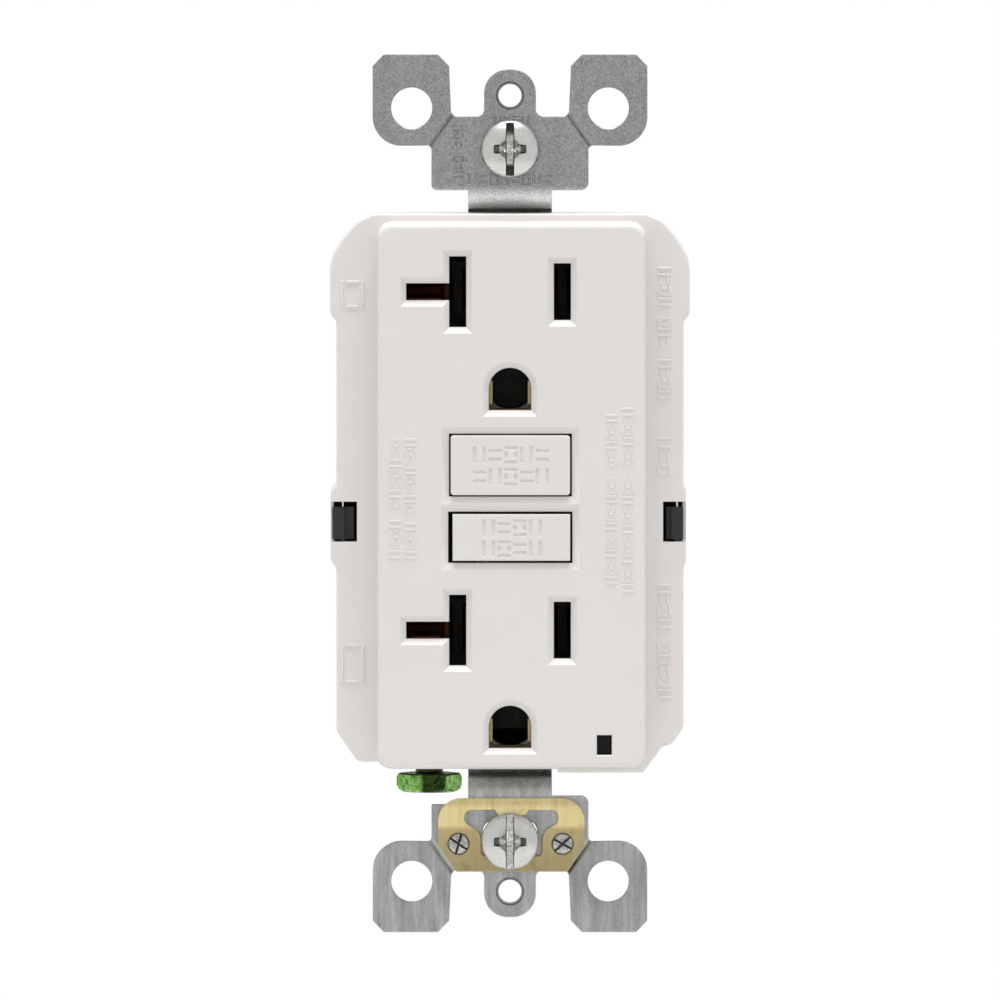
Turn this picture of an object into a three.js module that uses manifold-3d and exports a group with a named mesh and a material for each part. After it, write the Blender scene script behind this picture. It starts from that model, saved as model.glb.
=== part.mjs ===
// A 20 A, 125 V duplex ground-fault receptacle, built as the assembly it is: a moulded front cover and rear
// housing clamped round a steel mounting strap, with the contacts, trip mechanism and electronics inside.
// Millimetres. +X is right as seen from the front, +Y goes into the wall and +Z is up.
// The origin is on the back plane of the strap's ears, midway between the two mounting screws.
import * as THREE from "three";
import { mergeVertices } from "three/addons/utils/BufferGeometryUtils.js";
import Module from "manifold-3d";

const wasm = await Module();
wasm.setup();

// ---- driving dimensions ----
const FACE_Y = -7.4; // front of the raised face
const RIM_Y = -2.6; // front of the rim round the raised face
const SEAM_Y = 5.0; // where the cover ends and the rear housing begins
const BACK_Y = 26.0; // back of the rear housing
const WALL = 1.6; // moulded wall thickness
const GAP = 0.3; // clearance between pieces that meet

const FACE_HALF_X = 16.4;
const FACE_HALF_Z = 33.05;
const FACE_CORNER = 2.0;
const FACE_WALL = 1.9; // thickness of the raised face behind the openings
const RIM_HALF_X = 21.1;
const RIM_TOP_Z = 34.1;
const LOBE_X = { left: 21.8, right: 21.4 }; // the rim swells a little round each latch window

const STRAP_T = 1.3;
const STRAP_CORE_Y = 5.2; // front of the strap where it crosses the body
const STRAP_CORE_HALF_X = 4.1;
const NECK_HALF_X = 5.15;
const BEND_IN = 1.1; // inside radius of the strap's bends
const MOUNT_Z = 41.67; // 3.281 in between the mounting slots
const TAB_Z = 48.42; // 3.812 in between the wall plate's screw holes
const TAB = { r: 3.2, hole: 1.38, neckX: 3.3, neckZ: 46.9, footX: 4.2, footZ: 45.85 };
const EAR = {
  outer: 16.7,
  inner: 7.15,
  innerTop: 7.4, // the inner edge leans out a little towards the top
  top: 53.4,
  shoulder: 52.0, // where the chamfers of the corners end
  chamferOuter: 15.4,
  chamferInner: 8.75,
  root: 9.55, // half the plate's width between the ears and the body
  foot: 42.25,
  footR: 4.1,
  holeX: 11.95,
  holeR: 2.5,
};
const SCORE = { x: 8.4, z: 44.05, length: 5.6, halfW: 0.3, depth: 0.35, lean: 0.61 };
// The two ends of the strap: inner edges at the left and right, corner radius, ear holes and mounting slot.
const UPPER_END = {
  left: 36.9, right: 36.9, cornerR: 1.0, holeZ: 46.9,
  slotZ: MOUNT_Z, slotR: 2.3, slotHalf: 3.5,
};
const LOWER_END = {
  left: 36.8, right: 37.85, cornerR: 0.9, holeZ: 47.2,
  slotZ: 42.05, slotR: 2.05, slotHalf: 3.3,
};

// The two outlets: height of the blade slots, then of the ground pin, 11.8 mm below it.
const OUTLETS = [
  { name: "upper", blade: 24.76, ground: 12.95 },
  { name: "lower", blade: -16.35, ground: -28.1 },
];
const BLADE_X = 6.35; // half the 12.7 mm between the blades
const SLOT_W = 2.06;
const HOT_SLOT_L = 6.9;
const NEUTRAL_SLOT_L = 8.6;
const CROSS_SLOT_X = -12.6; // outer end of the sideways leg of the T slot
const GROUND_R = 2.58;
const BEVEL = 0.7; // width and depth of the lead-in round every opening

const RESET = { z: 3.72, halfX: 7.2, halfZ: 3.62, gap: 0.2, travel: 1.8 };
const TEST = { z: -5.05, halfX: 7.1, halfZ: 2.82, gap: 0.32, travel: 1.5 };
const BUTTON_BEVEL = { width: 0.85, depth: 0.45 };
const BUTTON_PROUD = 0.25;
const BUTTON_BACK_Y = -2.8;
const LAMP = { x: 11.45, z: -30.28, halfX: 0.9, halfZ: 1.2 };
const WINDOW = { x0: 18.6, x1: 23, z0: -5.8, z1: -0.9, ledgeX: 20.4, ledgeY: 0.4 };
const HOOK = { x0: 19.0, x1: 20.1, armY: -1.2, noseY: -1.9, z0: -5.5, z1: -1.6 };
const NOSE_X = { left: [20.15, 21.6], right: [19.65, 21.05] };

const STRIP = { y0: 8.2, y1: 9.0, x0: 9.4, x1: 12.4 }; // the load side's contact strips
const LINE_ARM_Y = 11.1; // front of the line side's arms
const CARRIER_Y = 9.4; // front of the inner carrier's floor
const BOARD_Y = 12.6; // front of the circuit board
const BOARD_T = 1.6;
const PARTS_Y = 14.5; // where the components' feet stop, just clear of the board
const FLOOR_Y = BACK_Y - WALL; // inside of the rear housing's back

// Wire terminals: two on each side, line at the bottom and load at the top.
const TERMINAL_Z = 13.5;
const TERMINAL_Y = 17.0;
const TERMINAL_PLATE = { x0: 15.0, x1: 15.8 };
const CLAMP = { x0: 17.8, x1: 18.6, half: 4.0 };
const TERMINAL_HEAD = { x0: 18.7, x1: 20.8, r: 3.85 };
const TERMINAL_SHANK_R = 2.05;
const TONGUE = { x0: 13.4, x1: 14.6, half: 4.3 }; // stands on each terminal from inside the cover
const WIRE_HOLE = { x: 16.8, dz: 2.8, r: 1.4 };
const SCREW_BORE = { cover: 1.3, housing: 1.35, headR: 2.5, headDepth: 2.2 };
const BODY_SCREWS = [
  ["assembly_screw_upper_left", -17.4, 28.0],
  ["assembly_screw_upper_right", 17.4, 28.0],
  ["assembly_screw_lower_left", -17.4, -26.5],
  ["assembly_screw_lower_right", 17.4, -26.5],
];

const GROUND_SCREW = {
  x: -9.85, y: 9.6, headTop: -34.55, headH: 2.35, headR: 4.0, slotHalf: 2.6, shankR: 1.68, tip: -26.5,
};
const CLIP = {
  left: -8.75, right: 9.05, top: -37.05, bottom: -46.0, cornerR: 3.45,
  front: -STRAP_T - 0.45, back: -STRAP_T - 0.05,
};
const RIVETS = [["clip_rivet_left", -6.25], ["clip_rivet_right", 6.4]];
const RIVET = { z: -42.6, shankR: 0.92, headR: 1.28, headH: 0.4 };
const MOUNT_SCREW = {
  headR: 3.48, headH: 2.0, dome: 1.3, shankR: 1.7, length: 22.5, slotW: 0.95, slotD: 1.0,
};
const MOUNT_SCREWS = [
  { name: "upper", z: MOUNT_Z + 0.3, headY: -STRAP_T - 0.25 - MOUNT_SCREW.headH },
  { name: "lower", z: -MOUNT_Z - 0.6, headY: -STRAP_T - 0.7 - MOUNT_SCREW.headH },
];

// ---- shape helpers: every solid is a three.js geometry, joined and cut with manifold-3d ----

// A closed geometry as a solid, with shared corners merged and collapsed triangles dropped.
function solid(geometry) {
  const loose = geometry.index ? geometry.toNonIndexed() : geometry;
  const bare = new THREE.BufferGeometry();
  bare.setAttribute("position", loose.getAttribute("position"));
  const merged = mergeVertices(bare, 1e-4);
  const kept = [];
  for (let i = 0; i < merged.index.count; i += 3) {
    const [a, b, c] = [0, 1, 2].map((k) => merged.index.array[i + k]);
    if (a !== b && b !== c && a !== c) kept.push(a, b, c);
  }
  const vertProperties = merged.attributes.position.array;
  return new wasm.Manifold(new wasm.Mesh({ numProp: 3, vertProperties, triVerts: new Uint32Array(kept) }));
}

function geometryOf(made) {
  const mesh = made.getMesh();
  const geometry = new THREE.BufferGeometry();
  geometry.setAttribute("position", new THREE.BufferAttribute(mesh.vertProperties, 3));
  geometry.setIndex(new THREE.BufferAttribute(mesh.triVerts, 1));
  return geometry;
}

const join = (...solids) => solids.reduce((whole, piece) => whole.add(piece));
const cut = (whole, ...tools) => tools.reduce((left, tool) => left.subtract(tool), whole);

function box(x0, x1, y0, y1, z0, z1) {
  const geometry = new THREE.BoxGeometry(x1 - x0, y1 - y0, z1 - z0);
  return solid(geometry.translate((x0 + x1) / 2, (y0 + y1) / 2, (z0 + z1) / 2));
}

// A box mirrored to the left or right side: side is -1 or 1, and inner < outer are distances from the middle.
function sideBox(side, inner, outer, y0, y1, z0, z1) {
  const [x0, x1] = side > 0 ? [inner, outer] : [-outer, -inner];
  return box(x0, x1, y0, y1, z0, z1);
}

// Round bars along each axis, given by their two ends and the place of their axis.
function barY(r, y0, y1, x, z, sides = 20) {
  return solid(new THREE.CylinderGeometry(r, r, y1 - y0, sides).translate(x, (y0 + y1) / 2, z));
}
function barZ(r, z0, z1, x, y, sides = 20) {
  const geometry = new THREE.CylinderGeometry(r, r, z1 - z0, sides).rotateX(Math.PI / 2);
  return solid(geometry.translate(x, y, (z0 + z1) / 2));
}
function barX(r, x0, x1, y, z, sides = 20) {
  const [low, high] = [Math.min(x0, x1), Math.max(x0, x1)];
  const geometry = new THREE.CylinderGeometry(r, r, high - low, sides).rotateZ(Math.PI / 2);
  return solid(geometry.translate((low + high) / 2, y, z));
}

// An outline drawn in X and Z, given thickness from y0 back to y1.
function slab(shape, y0, y1, curveSegments = 6) {
  const geometry = new THREE.ExtrudeGeometry(shape, { depth: y1 - y0, bevelEnabled: false, curveSegments });
  return solid(geometry.rotateX(Math.PI / 2).translate(0, y1, 0));
}
// An outline drawn in Y and Z, given width from x0 to x1.
function slabX(shape, x0, x1, curveSegments = 6) {
  const geometry = new THREE.ExtrudeGeometry(shape, { depth: x1 - x0, bevelEnabled: false, curveSegments });
  const turned = new THREE.Matrix4().makeBasis(
    new THREE.Vector3(0, 1, 0),
    new THREE.Vector3(0, 0, 1),
    new THREE.Vector3(1, 0, 0),
  );
  return solid(geometry.applyMatrix4(turned).translate(x0, 0, 0));
}
// An outline drawn in X and Y, given height from z0 to z1.
function slabZ(shape, z0, z1, curveSegments = 6) {
  const geometry = new THREE.ExtrudeGeometry(shape, { depth: z1 - z0, bevelEnabled: false, curveSegments });
  return solid(geometry.translate(0, 0, z0));
}

const outline = (points) => new THREE.Shape(points.map(([a, b]) => new THREE.Vector2(a, b)));

function roundedRect(a0, a1, b0, b1, r) {
  const shape = new THREE.Shape();
  shape.absarc(a1 - r, b1 - r, r, 0, Math.PI / 2);
  shape.absarc(a0 + r, b1 - r, r, Math.PI / 2, Math.PI);
  shape.absarc(a0 + r, b0 + r, r, Math.PI, 1.5 * Math.PI);
  shape.absarc(a1 - r, b0 + r, r, 1.5 * Math.PI, 2 * Math.PI);
  return shape;
}

// The arch-topped outline of a ground pin's hole: flat at the bottom, round at the top.
function archShape(x, z, r) {
  const shape = new THREE.Shape();
  shape.moveTo(x - r, z - r);
  shape.lineTo(x + r, z - r);
  shape.absarc(x, z, r, 0, Math.PI);
  return shape;
}

// A solid between outlines with the same number of points, each drawn in X and Z at its own Y, front to back.
function loft(rings) {
  const n = rings[0].points.length;
  const flat = rings.flatMap(({ y, points }) => points.flatMap(([x, z]) => [x, y, z]));
  const index = [];
  for (let r = 0; r + 1 < rings.length; r++) {
    for (let i = 0; i < n; i++) {
      const [a, b] = [r * n + i, r * n + ((i + 1) % n)];
      index.push(a, b, b + n, a, b + n, a + n);
    }
  }
  const cap = THREE.ShapeUtils.triangulateShape(rings[0].points.map(([x, z]) => new THREE.Vector2(x, z)), []);
  const last = (rings.length - 1) * n;
  for (const [a, b, c] of cap) index.push(a, c, b, last + a, last + b, last + c);
  const geometry = new THREE.BufferGeometry();
  geometry.setAttribute("position", new THREE.Float32BufferAttribute(flat, 3));
  geometry.setIndex(index);
  const made = solid(geometry);
  if (made.volume() > 0) return made;
  for (let i = 0; i < index.length; i += 3) [index[i + 1], index[i + 2]] = [index[i + 2], index[i + 1]];
  geometry.setIndex(index);
  return solid(geometry);
}

const rectPoints = (x0, x1, z0, z1) => [[x0, z0], [x1, z0], [x1, z1], [x0, z1]];
const shapePoints = (shape, divisions = 6) => shape.getPoints(divisions).map((p) => [p.x, p.y]);

// The tool that cuts a straight opening with a lead-in bevel round its mouth, from the face back to y1.
function bevelledHole(pointsAt, y1, bevel = BEVEL, depth = BEVEL) {
  const past = 0.2;
  const slope = bevel / depth;
  return loft([
    { y: FACE_Y - past, points: pointsAt(bevel + past * slope) },
    { y: FACE_Y + depth, points: pointsAt(0) },
    { y: y1, points: pointsAt(0) },
  ]);
}

// A turned piece about the Y axis through (x, z). Profile points are [radius, y], and the profile starts
// and ends on the axis or closes on itself.
function turned(profile, x, z, sides = 24) {
  const points = profile.map(([r, y]) => new THREE.Vector2(r, y));
  const made = solid(new THREE.LatheGeometry(points, sides).translate(x, 0, z));
  if (made.volume() > 0) return made;
  return solid(new THREE.LatheGeometry(points.reverse(), sides).translate(x, 0, z));
}

class Helix extends THREE.Curve {
  constructor(radius, length, turns) {
    super();
    Object.assign(this, { radius, length, turns });
  }
  getPoint(t, target = new THREE.Vector3()) {
    const angle = 2 * Math.PI * this.turns * t;
    return target.set(this.radius * Math.cos(angle), this.length * t, this.radius * Math.sin(angle));
  }
}

// A coil spring standing on the origin along +Y.
function springGeometry(radius, wire, length, turns) {
  const section = new THREE.Shape().absarc(0, 0, wire, 0, 2 * Math.PI);
  return new THREE.ExtrudeGeometry(section, {
    steps: Math.round(turns * 10),
    curveSegments: 2,
    bevelEnabled: false,
    extrudePath: new Helix(radius, length - 2 * wire, turns),
  }).translate(0, wire, 0);
}

// ---- materials ----
function material(color, roughness, metalness = 0) {
  return new THREE.MeshStandardMaterial({ color, roughness, metalness });
}
const WHITE = material(0xe4e0dc, 0.35);
const BLACK = material(0x24252a, 0.5);
const CARRIER_GREY = material(0xb9b7b0, 0.5);
const ZINC = material(0xa6a9a8, 0.42, 1);
const SCREW_ZINC = material(0xd2d2cf, 0.22, 1);
const SPRING_STEEL = material(0xbfc1c2, 0.25, 1);
const BRASS = material(0xc9a860, 0.32, 1);
const BRONZE = material(0xa5684a, 0.38, 1);
const GREEN = material(0x2f7a2c, 0.3, 1);
const FIBRE = material(0x8c5a3c, 0.8);
const BOARD_GREEN = material(0x1f5a34, 0.5);
const COPPER = material(0xb4693a, 0.35, 1);
const COMPONENT = material(0x2b2b2e, 0.45);
const VARISTOR_BLUE = material(0x2a4c9b, 0.4);
const CLEAR = material(0x3a3a3c, 0.15);

// ---- front cover ----

// One side of the cover's outline from the top centre down to the bottom corner, for x > 0.
function coverSide(bump) {
  return [
    [16.5, RIM_TOP_Z], [18.2, 33.35], [19.6, 31.9], [21.2, 29.8], [21.85, 28.0],
    [21.85, 22.0], [21.6, 21.5], [RIM_HALF_X, 21.1],
    [RIM_HALF_X, 1.3], [bump - 0.2, 1.0], [bump, 0.6],
    [bump, -7.9], [bump - 0.3, -8.5], [RIM_HALF_X, -9.0],
  ];
}

// The right side ends in a rounded lobe and a slanted corner. The left side is cut short for the ground
// screw.
function coverOutline() {
  const right = [
    ...coverSide(LOBE_X.right),
    [RIM_HALF_X, -27.4], [20.9, -28.8], [20.2, -29.8], [19.3, -30.4], [18.6, -30.7],
    [16.4, -33.9], [6.2, -33.9], [5.6, -33.3],
  ];
  const left = [
    ...coverSide(LOBE_X.left),
    [RIM_HALF_X, -28.6], [20.9, -29.3], [18.5, -32.6], [5.6, -32.6],
  ].map(([x, z]) => [-x, z]);
  return [...right, ...left.reverse()];
}

// Moves each point of a convex-ish outline towards the middle by a wall's thickness on each axis.
function inset(points, by, halfX, halfZ) {
  return points.map(([x, z]) => [x * (1 - by / halfX), z * (1 - by / halfZ)]);
}

// A rectangle round (x, z), larger by grow on every side.
function grownRect(x, z, halfX, halfZ, grow) {
  return rectPoints(x - halfX - grow, x + halfX + grow, z - halfZ - grow, z + halfZ + grow);
}

function tSlotTool(z, y1) {
  const half = SLOT_W / 2;
  const upright = (grow) => grownRect(-BLADE_X, z, half, NEUTRAL_SLOT_L / 2, grow);
  const cross = (grow) => rectPoints(CROSS_SLOT_X - grow, -BLADE_X, z - half - grow, z + half + grow);
  return join(bevelledHole(upright, y1), bevelledHole(cross, y1));
}

function hotSlotTool(z, y1) {
  return bevelledHole((grow) => grownRect(BLADE_X, z, SLOT_W / 2, HOT_SLOT_L / 2, grow), y1);
}

function groundHoleTool(z, y1) {
  return bevelledHole((grow) => shapePoints(archShape(0, z, GROUND_R + grow), 8), y1);
}

function buttonHoleTool(button, y1) {
  const { z, halfX, halfZ, gap } = button;
  const opening = (grow) => grownRect(0, z, halfX + gap, halfZ + gap, grow);
  return bevelledHole(opening, y1, BUTTON_BEVEL.width, BUTTON_BEVEL.depth);
}

function frontCover() {
  const rim = outline(coverOutline());
  const hollow = outline(inset(coverOutline(), WALL, RIM_HALF_X, RIM_TOP_Z));
  const faceRing = (less) => {
    const [x, z] = [FACE_HALF_X - less, FACE_HALF_Z - less];
    return shapePoints(roundedRect(-x, x, -z, z, FACE_CORNER - less / 2), 4);
  };
  const face = loft([
    { y: FACE_Y, points: faceRing(0.7) },
    { y: FACE_Y + 0.2, points: faceRing(0.25) },
    { y: FACE_Y + 0.7, points: faceRing(0) },
    { y: RIM_Y + 0.5, points: faceRing(0) },
  ]);
  const faceHollow = roundedRect(
    WALL - FACE_HALF_X, FACE_HALF_X - WALL, WALL - FACE_HALF_Z, FACE_HALF_Z - WALL, 0.6);
  let cover = join(slab(rim, RIM_Y, SEAM_Y), face);
  cover = cut(cover,
    slab(faceHollow, FACE_Y + FACE_WALL, SEAM_Y - 4),
    slab(hollow, RIM_Y + WALL, SEAM_Y + 1));
  for (const [, x, z] of BODY_SCREWS) {
    cover = join(cover, barY(2.2, RIM_Y + 1, SEAM_Y - 0.2, x, z));
    cover = cut(cover, barY(SCREW_BORE.cover, RIM_Y + 1.8, SEAM_Y + 1, x, z, 16));
  }
  const through = FACE_Y + 4;
  for (const { blade, ground } of OUTLETS) {
    const slots = [tSlotTool(blade, through), hotSlotTool(blade, through)];
    cover = cut(cover, ...slots, groundHoleTool(ground, through));
  }
  // tongues that hold the terminals down and close the openings in front of them
  for (const side of [-1, 1]) {
    for (const [z, y1] of [[TERMINAL_Z, STRIP.y0 - GAP], [-TERMINAL_Z, LINE_ARM_Y - GAP]]) {
      const { x0, x1, half } = TONGUE;
      cover = join(cover, sideBox(side, x0, x1, FACE_Y + 1, y1, z - half, z + half));
    }
  }
  cover = cut(cover, buttonHoleTool(RESET, through), buttonHoleTool(TEST, through));
  const lamp = (grow) => grownRect(LAMP.x, LAMP.z, LAMP.halfX, LAMP.halfZ, grow);
  cover = cut(cover, bevelledHole(lamp, through, 0.2, 0.2));
  // latch windows, open at the sides, with a ledge behind each
  const { x0, x1, z0, z1, ledgeX, ledgeY } = WINDOW;
  for (const side of [-1, 1]) {
    const front = sideBox(side, x0, x1, RIM_Y - 1, ledgeY, z0, z1);
    const behind = sideBox(side, x0, ledgeX, 0, SEAM_Y + 1, z0, z1);
    cover = cut(cover, front, behind);
  }
  // the strap leaves through a notch at each end
  const neck = NECK_HALF_X + GAP;
  return cut(cover,
    box(-neck, neck, SEAM_Y - 1.6, SEAM_Y + 1, 31.6, 40),
    box(-neck, neck, SEAM_Y - 1.6, SEAM_Y + 1, -40, -31));
}

// ---- rear housing ----
function housingOutline() {
  const side = [
    [16.0, 33.2], [17.8, 32.4], [19.4, 30.8], [20.3, 28.6],
    [20.3, -27.0], [19.6, -29.2], [17.6, -32.2], [16.4, -33.0],
  ];
  return [...side, ...side.map(([x, z]) => [-x, z]).reverse()];
}

function rearHousing() {
  const front = SEAM_Y + GAP;
  let housing = slab(outline(housingOutline()), front, BACK_Y);
  const narrow = 13.4; // half the cavity's width between the wire terminals
  const edge = TERMINAL_Z - 6.6;
  const wide = 18.5;
  const top = 31.4;
  const cavity = join(
    box(-narrow, narrow, front - 1, FLOOR_Y, -top, top),
    box(-wide, wide, front - 1, FLOOR_Y, -edge, edge),
    ...[-1, 1].flatMap((end) => {
      const [z0, z1] = end > 0 ? [TERMINAL_Z + 6.6, 30.6] : [-29.6, -TERMINAL_Z - 6.6];
      return [box(-wide, wide, front - 1, FLOOR_Y, z0, z1)];
    }),
  ).intersect(slab(outline(inset(housingOutline(), WALL, 20.3, 33.2)), front - 2, BACK_Y));
  housing = cut(housing, cavity);
  for (const [, x, z] of BODY_SCREWS) {
    const post = barY(2.3, front, BACK_Y - 1, x, z).intersect(slab(outline(housingOutline()), front, BACK_Y));
    const bore = barY(SCREW_BORE.housing, 0, BACK_Y + 1, x, z, 16);
    const seat = barY(SCREW_BORE.headR, BACK_Y - SCREW_BORE.headDepth, BACK_Y + 1, x, z);
    housing = cut(join(housing, post), bore, seat);
  }
  for (const side of [-1, 1]) {
    for (const z of [-TERMINAL_Z, TERMINAL_Z]) {
      housing = cut(housing,
        sideBox(side, 14.8, 22, front - 1, 22.5, z - 5.2, z + 5.2), // pocket for the screw and clamp
        sideBox(side, 12, 15, front - 1, BOARD_Y - 0.2, z - 4.6, z + 4.6), // the terminal's way in
        barX(2.5, side * 12, side * 16, TERMINAL_Y, z)); // room for the screw's tip
      for (const dz of [-WIRE_HOLE.dz, WIRE_HOLE.dz]) {
        housing = cut(housing, barY(WIRE_HOLE.r, 22, BACK_Y + 1, side * WIRE_HOLE.x, z + dz, 16));
      }
    }
    // the latch that shows in the cover's window: an arm with a nose over the cover's ledge
    const { x0, x1, armY, noseY, z0, z1 } = HOOK;
    const [noseIn, noseOut] = side > 0 ? NOSE_X.right : NOSE_X.left;
    const arm = sideBox(side, x0, x1, armY, front + 1, z0, z1);
    const nose = sideBox(side, noseIn, noseOut, noseY, WINDOW.ledgeY - GAP, z0, z1);
    const root = sideBox(side, x0, noseOut, armY, WINDOW.ledgeY - GAP, z0, z1);
    housing = join(housing, arm, root, nose);
  }
  // notches for the strap, and the open corner where the ground terminal shows
  const neck = NECK_HALF_X + GAP;
  return cut(housing,
    box(-neck, neck, front - 1, 7.0, 30, 40),
    box(-neck, neck, front - 1, 7.0, -40, -30),
    box(-14.2, -neck + 1, front - 1, 14.4, -36, -31.2),
    barZ(2.6, -36, -24, GROUND_SCREW.x, GROUND_SCREW.y));
}

// ---- strap ----

// The flat end of the strap above the body: a plate with two ears and a round tab between them, for z > 0.
function strapEndShape({ left, right, cornerR, holeZ }) {
  const { outer, inner, innerTop, top, shoulder, chamferOuter, chamferInner } = EAR;
  const { root, foot, footR, holeX, holeR } = EAR;
  const rise = [
    [outer, shoulder], [chamferOuter, top], [chamferInner, top], [innerTop, shoulder],
    [inner, TAB.footZ + 0.35], [inner - 0.35, TAB.footZ], [TAB.footX, TAB.footZ], [TAB.neckX, TAB.neckZ],
  ];
  const shape = new THREE.Shape();
  shape.moveTo(0, right);
  shape.lineTo(root - cornerR, right);
  shape.absarc(root - cornerR, right + cornerR, cornerR, 1.5 * Math.PI, 2 * Math.PI);
  shape.lineTo(root, foot);
  shape.absarc(outer - footR, foot + footR, footR, 1.5 * Math.PI, 2 * Math.PI);
  for (const [x, z] of rise) shape.lineTo(x, z);
  shape.absarc(0, TAB_Z, TAB.r, 0, Math.PI);
  for (const [x, z] of rise.slice().reverse()) shape.lineTo(-x, z);
  shape.absarc(footR - outer, foot + footR, footR, Math.PI, 1.5 * Math.PI);
  shape.lineTo(-root, foot);
  shape.lineTo(-root, left + 0.5);
  shape.lineTo(0.5 - root, left);
  shape.lineTo(-4, left);
  shape.lineTo(-4, right);
  for (const [x, z, r] of [[-holeX, holeZ, holeR], [holeX, holeZ, holeR], [0, TAB_Z, TAB.hole]]) {
    shape.holes.push(new THREE.Path().absarc(x, z, r, 0, 2 * Math.PI));
  }
  return shape;
}

// The strap bends back beside the body, runs in under the cover and bends down to cross the body.
function neckShape() {
  const out = BEND_IN + STRAP_T;
  const farY = STRAP_CORE_Y - BEND_IN;
  const upZ = 37.0;
  const downZ = upZ - out - BEND_IN;
  const shape = new THREE.Shape();
  shape.moveTo(-STRAP_T, upZ + 0.4);
  shape.absarc(BEND_IN, upZ, out, Math.PI, 1.5 * Math.PI);
  shape.absarc(farY, downZ, BEND_IN, Math.PI / 2, 0, true);
  shape.lineTo(STRAP_CORE_Y, downZ - 0.6);
  shape.lineTo(STRAP_CORE_Y + STRAP_T, downZ - 0.6);
  shape.absarc(farY, downZ, out, 0, Math.PI / 2);
  shape.absarc(BEND_IN, upZ, BEND_IN, 1.5 * Math.PI, Math.PI, true);
  shape.lineTo(0, upZ + 0.4);
  return shape;
}

// A shallow V scored across an ear's root so that the ear can be snapped off.
function scoreTool(side) {
  const { x, z, length, halfW, depth, lean } = SCORE;
  const groove = outline([[-halfW, -STRAP_T - 0.1], [halfW, -STRAP_T - 0.1], [0, -STRAP_T + depth]]);
  const made = new THREE.ExtrudeGeometry(groove, { depth: length, bevelEnabled: false });
  return solid(made.translate(0, 0, -length / 2).rotateY(side * lean).translate(side * x, 0, z));
}

function strapEnd(end) {
  const { slotZ, slotR, slotHalf } = end;
  const reach = slotHalf - slotR;
  const plate = cut(slab(strapEndShape(end), -STRAP_T, 0, 5),
    barY(slotR, -3, 1, -reach, slotZ),
    barY(slotR, -3, 1, reach, slotZ),
    box(-reach, reach, -3, 1, slotZ - slotR, slotZ + slotR),
    scoreTool(-1),
    scoreTool(1));
  return join(plate, slabX(neckShape(), -NECK_HALF_X, NECK_HALF_X, 4));
}


function mountingStrap() {
  const upper = strapEnd(UPPER_END);
  const lower = strapEnd(LOWER_END).rotate([0, 180, 0]);
  const y1 = STRAP_CORE_Y + STRAP_T;
  let core = box(-STRAP_CORE_HALF_X, STRAP_CORE_HALF_X, STRAP_CORE_Y, y1, -33.3, 33.3);
  core = join(core, box(-NECK_HALF_X, NECK_HALF_X, STRAP_CORE_Y, y1, 32, 33.3),
    box(-NECK_HALF_X, NECK_HALF_X, STRAP_CORE_Y, y1, -33.3, -32));
  for (const { ground } of OUTLETS) core = cut(core, barY(2.9, STRAP_CORE_Y - 1, y1 + 1, 0, ground));
  core = cut(core,
    box(-2.6, 2.6, STRAP_CORE_Y - 1, y1 + 1, RESET.z - 2.6, RESET.z + 2.6),
    box(-1.7, 1.7, STRAP_CORE_Y - 1, y1 + 1, TEST.z - 1.3, TEST.z + 1.3));
  // ground terminal: a wing beside the core, folded back under the ground screw
  const wing = box(-13.6, -4, STRAP_CORE_Y, y1, -33.3, -31.6);
  const lug = box(-13.6, -6.2, STRAP_CORE_Y, 13.4, -33.3, -32.0);
  let strap = join(upper, lower, core, wing, lug);
  strap = cut(strap, barZ(1.8, -35, -31, GROUND_SCREW.x, GROUND_SCREW.y));
  for (const [, x] of RIVETS) strap = cut(strap, barY(RIVET.shankR + 0.08, -3, 1, x, RIVET.z, 16));
  return strap;
}

// ---- self-grounding clip on the strap's lower end ----
function groundingClip() {
  const { left, right, top, bottom, cornerR, front, back } = CLIP;
  const shape = new THREE.Shape();
  shape.moveTo(left + 2.15, bottom);
  shape.lineTo(right - 2.05, bottom);
  shape.lineTo(right, -42.7);
  shape.absarc(right - cornerR, top - cornerR, cornerR, 0, Math.PI / 2);
  shape.absarc(left + cornerR, top - cornerR, cornerR, Math.PI / 2, Math.PI);
  shape.lineTo(left, -42.7);
  // keyhole round the screw, with a lobe at each upper corner and a tongue between them
  const hole = new THREE.Path();
  hole.moveTo(-3.5, -43.6);
  hole.quadraticCurveTo(-3.5, -41.2, -4.6, -40.3);
  hole.quadraticCurveTo(-6.2, -38.8, -4.6, -38.5);
  hole.lineTo(-1.7, -38.5);
  hole.quadraticCurveTo(-1.3, -39.1, 0, -39.15);
  hole.quadraticCurveTo(1.8, -39.1, 2.2, -38.5);
  hole.lineTo(4.9, -38.5);
  hole.quadraticCurveTo(6.4, -38.8, 4.9, -40.3);
  hole.quadraticCurveTo(3.9, -41.2, 3.9, -43.6);
  hole.quadraticCurveTo(0.2, -46.4, -3.5, -43.6);
  shape.holes.push(hole);
  const bores = RIVETS.map(([, x]) => barY(RIVET.shankR + 0.08, -3, 1, x, RIVET.z, 16));
  return cut(slab(shape, front, back, 5), ...bores);
}

function clipRivet(x) {
  const shank = barY(RIVET.shankR, CLIP.front - 0.15, -0.05, x, RIVET.z, 16);
  const head = barY(RIVET.headR, CLIP.front - RIVET.headH, CLIP.front - 0.05, x, RIVET.z);
  return join(shank, head);
}

// ---- fasteners ----

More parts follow.
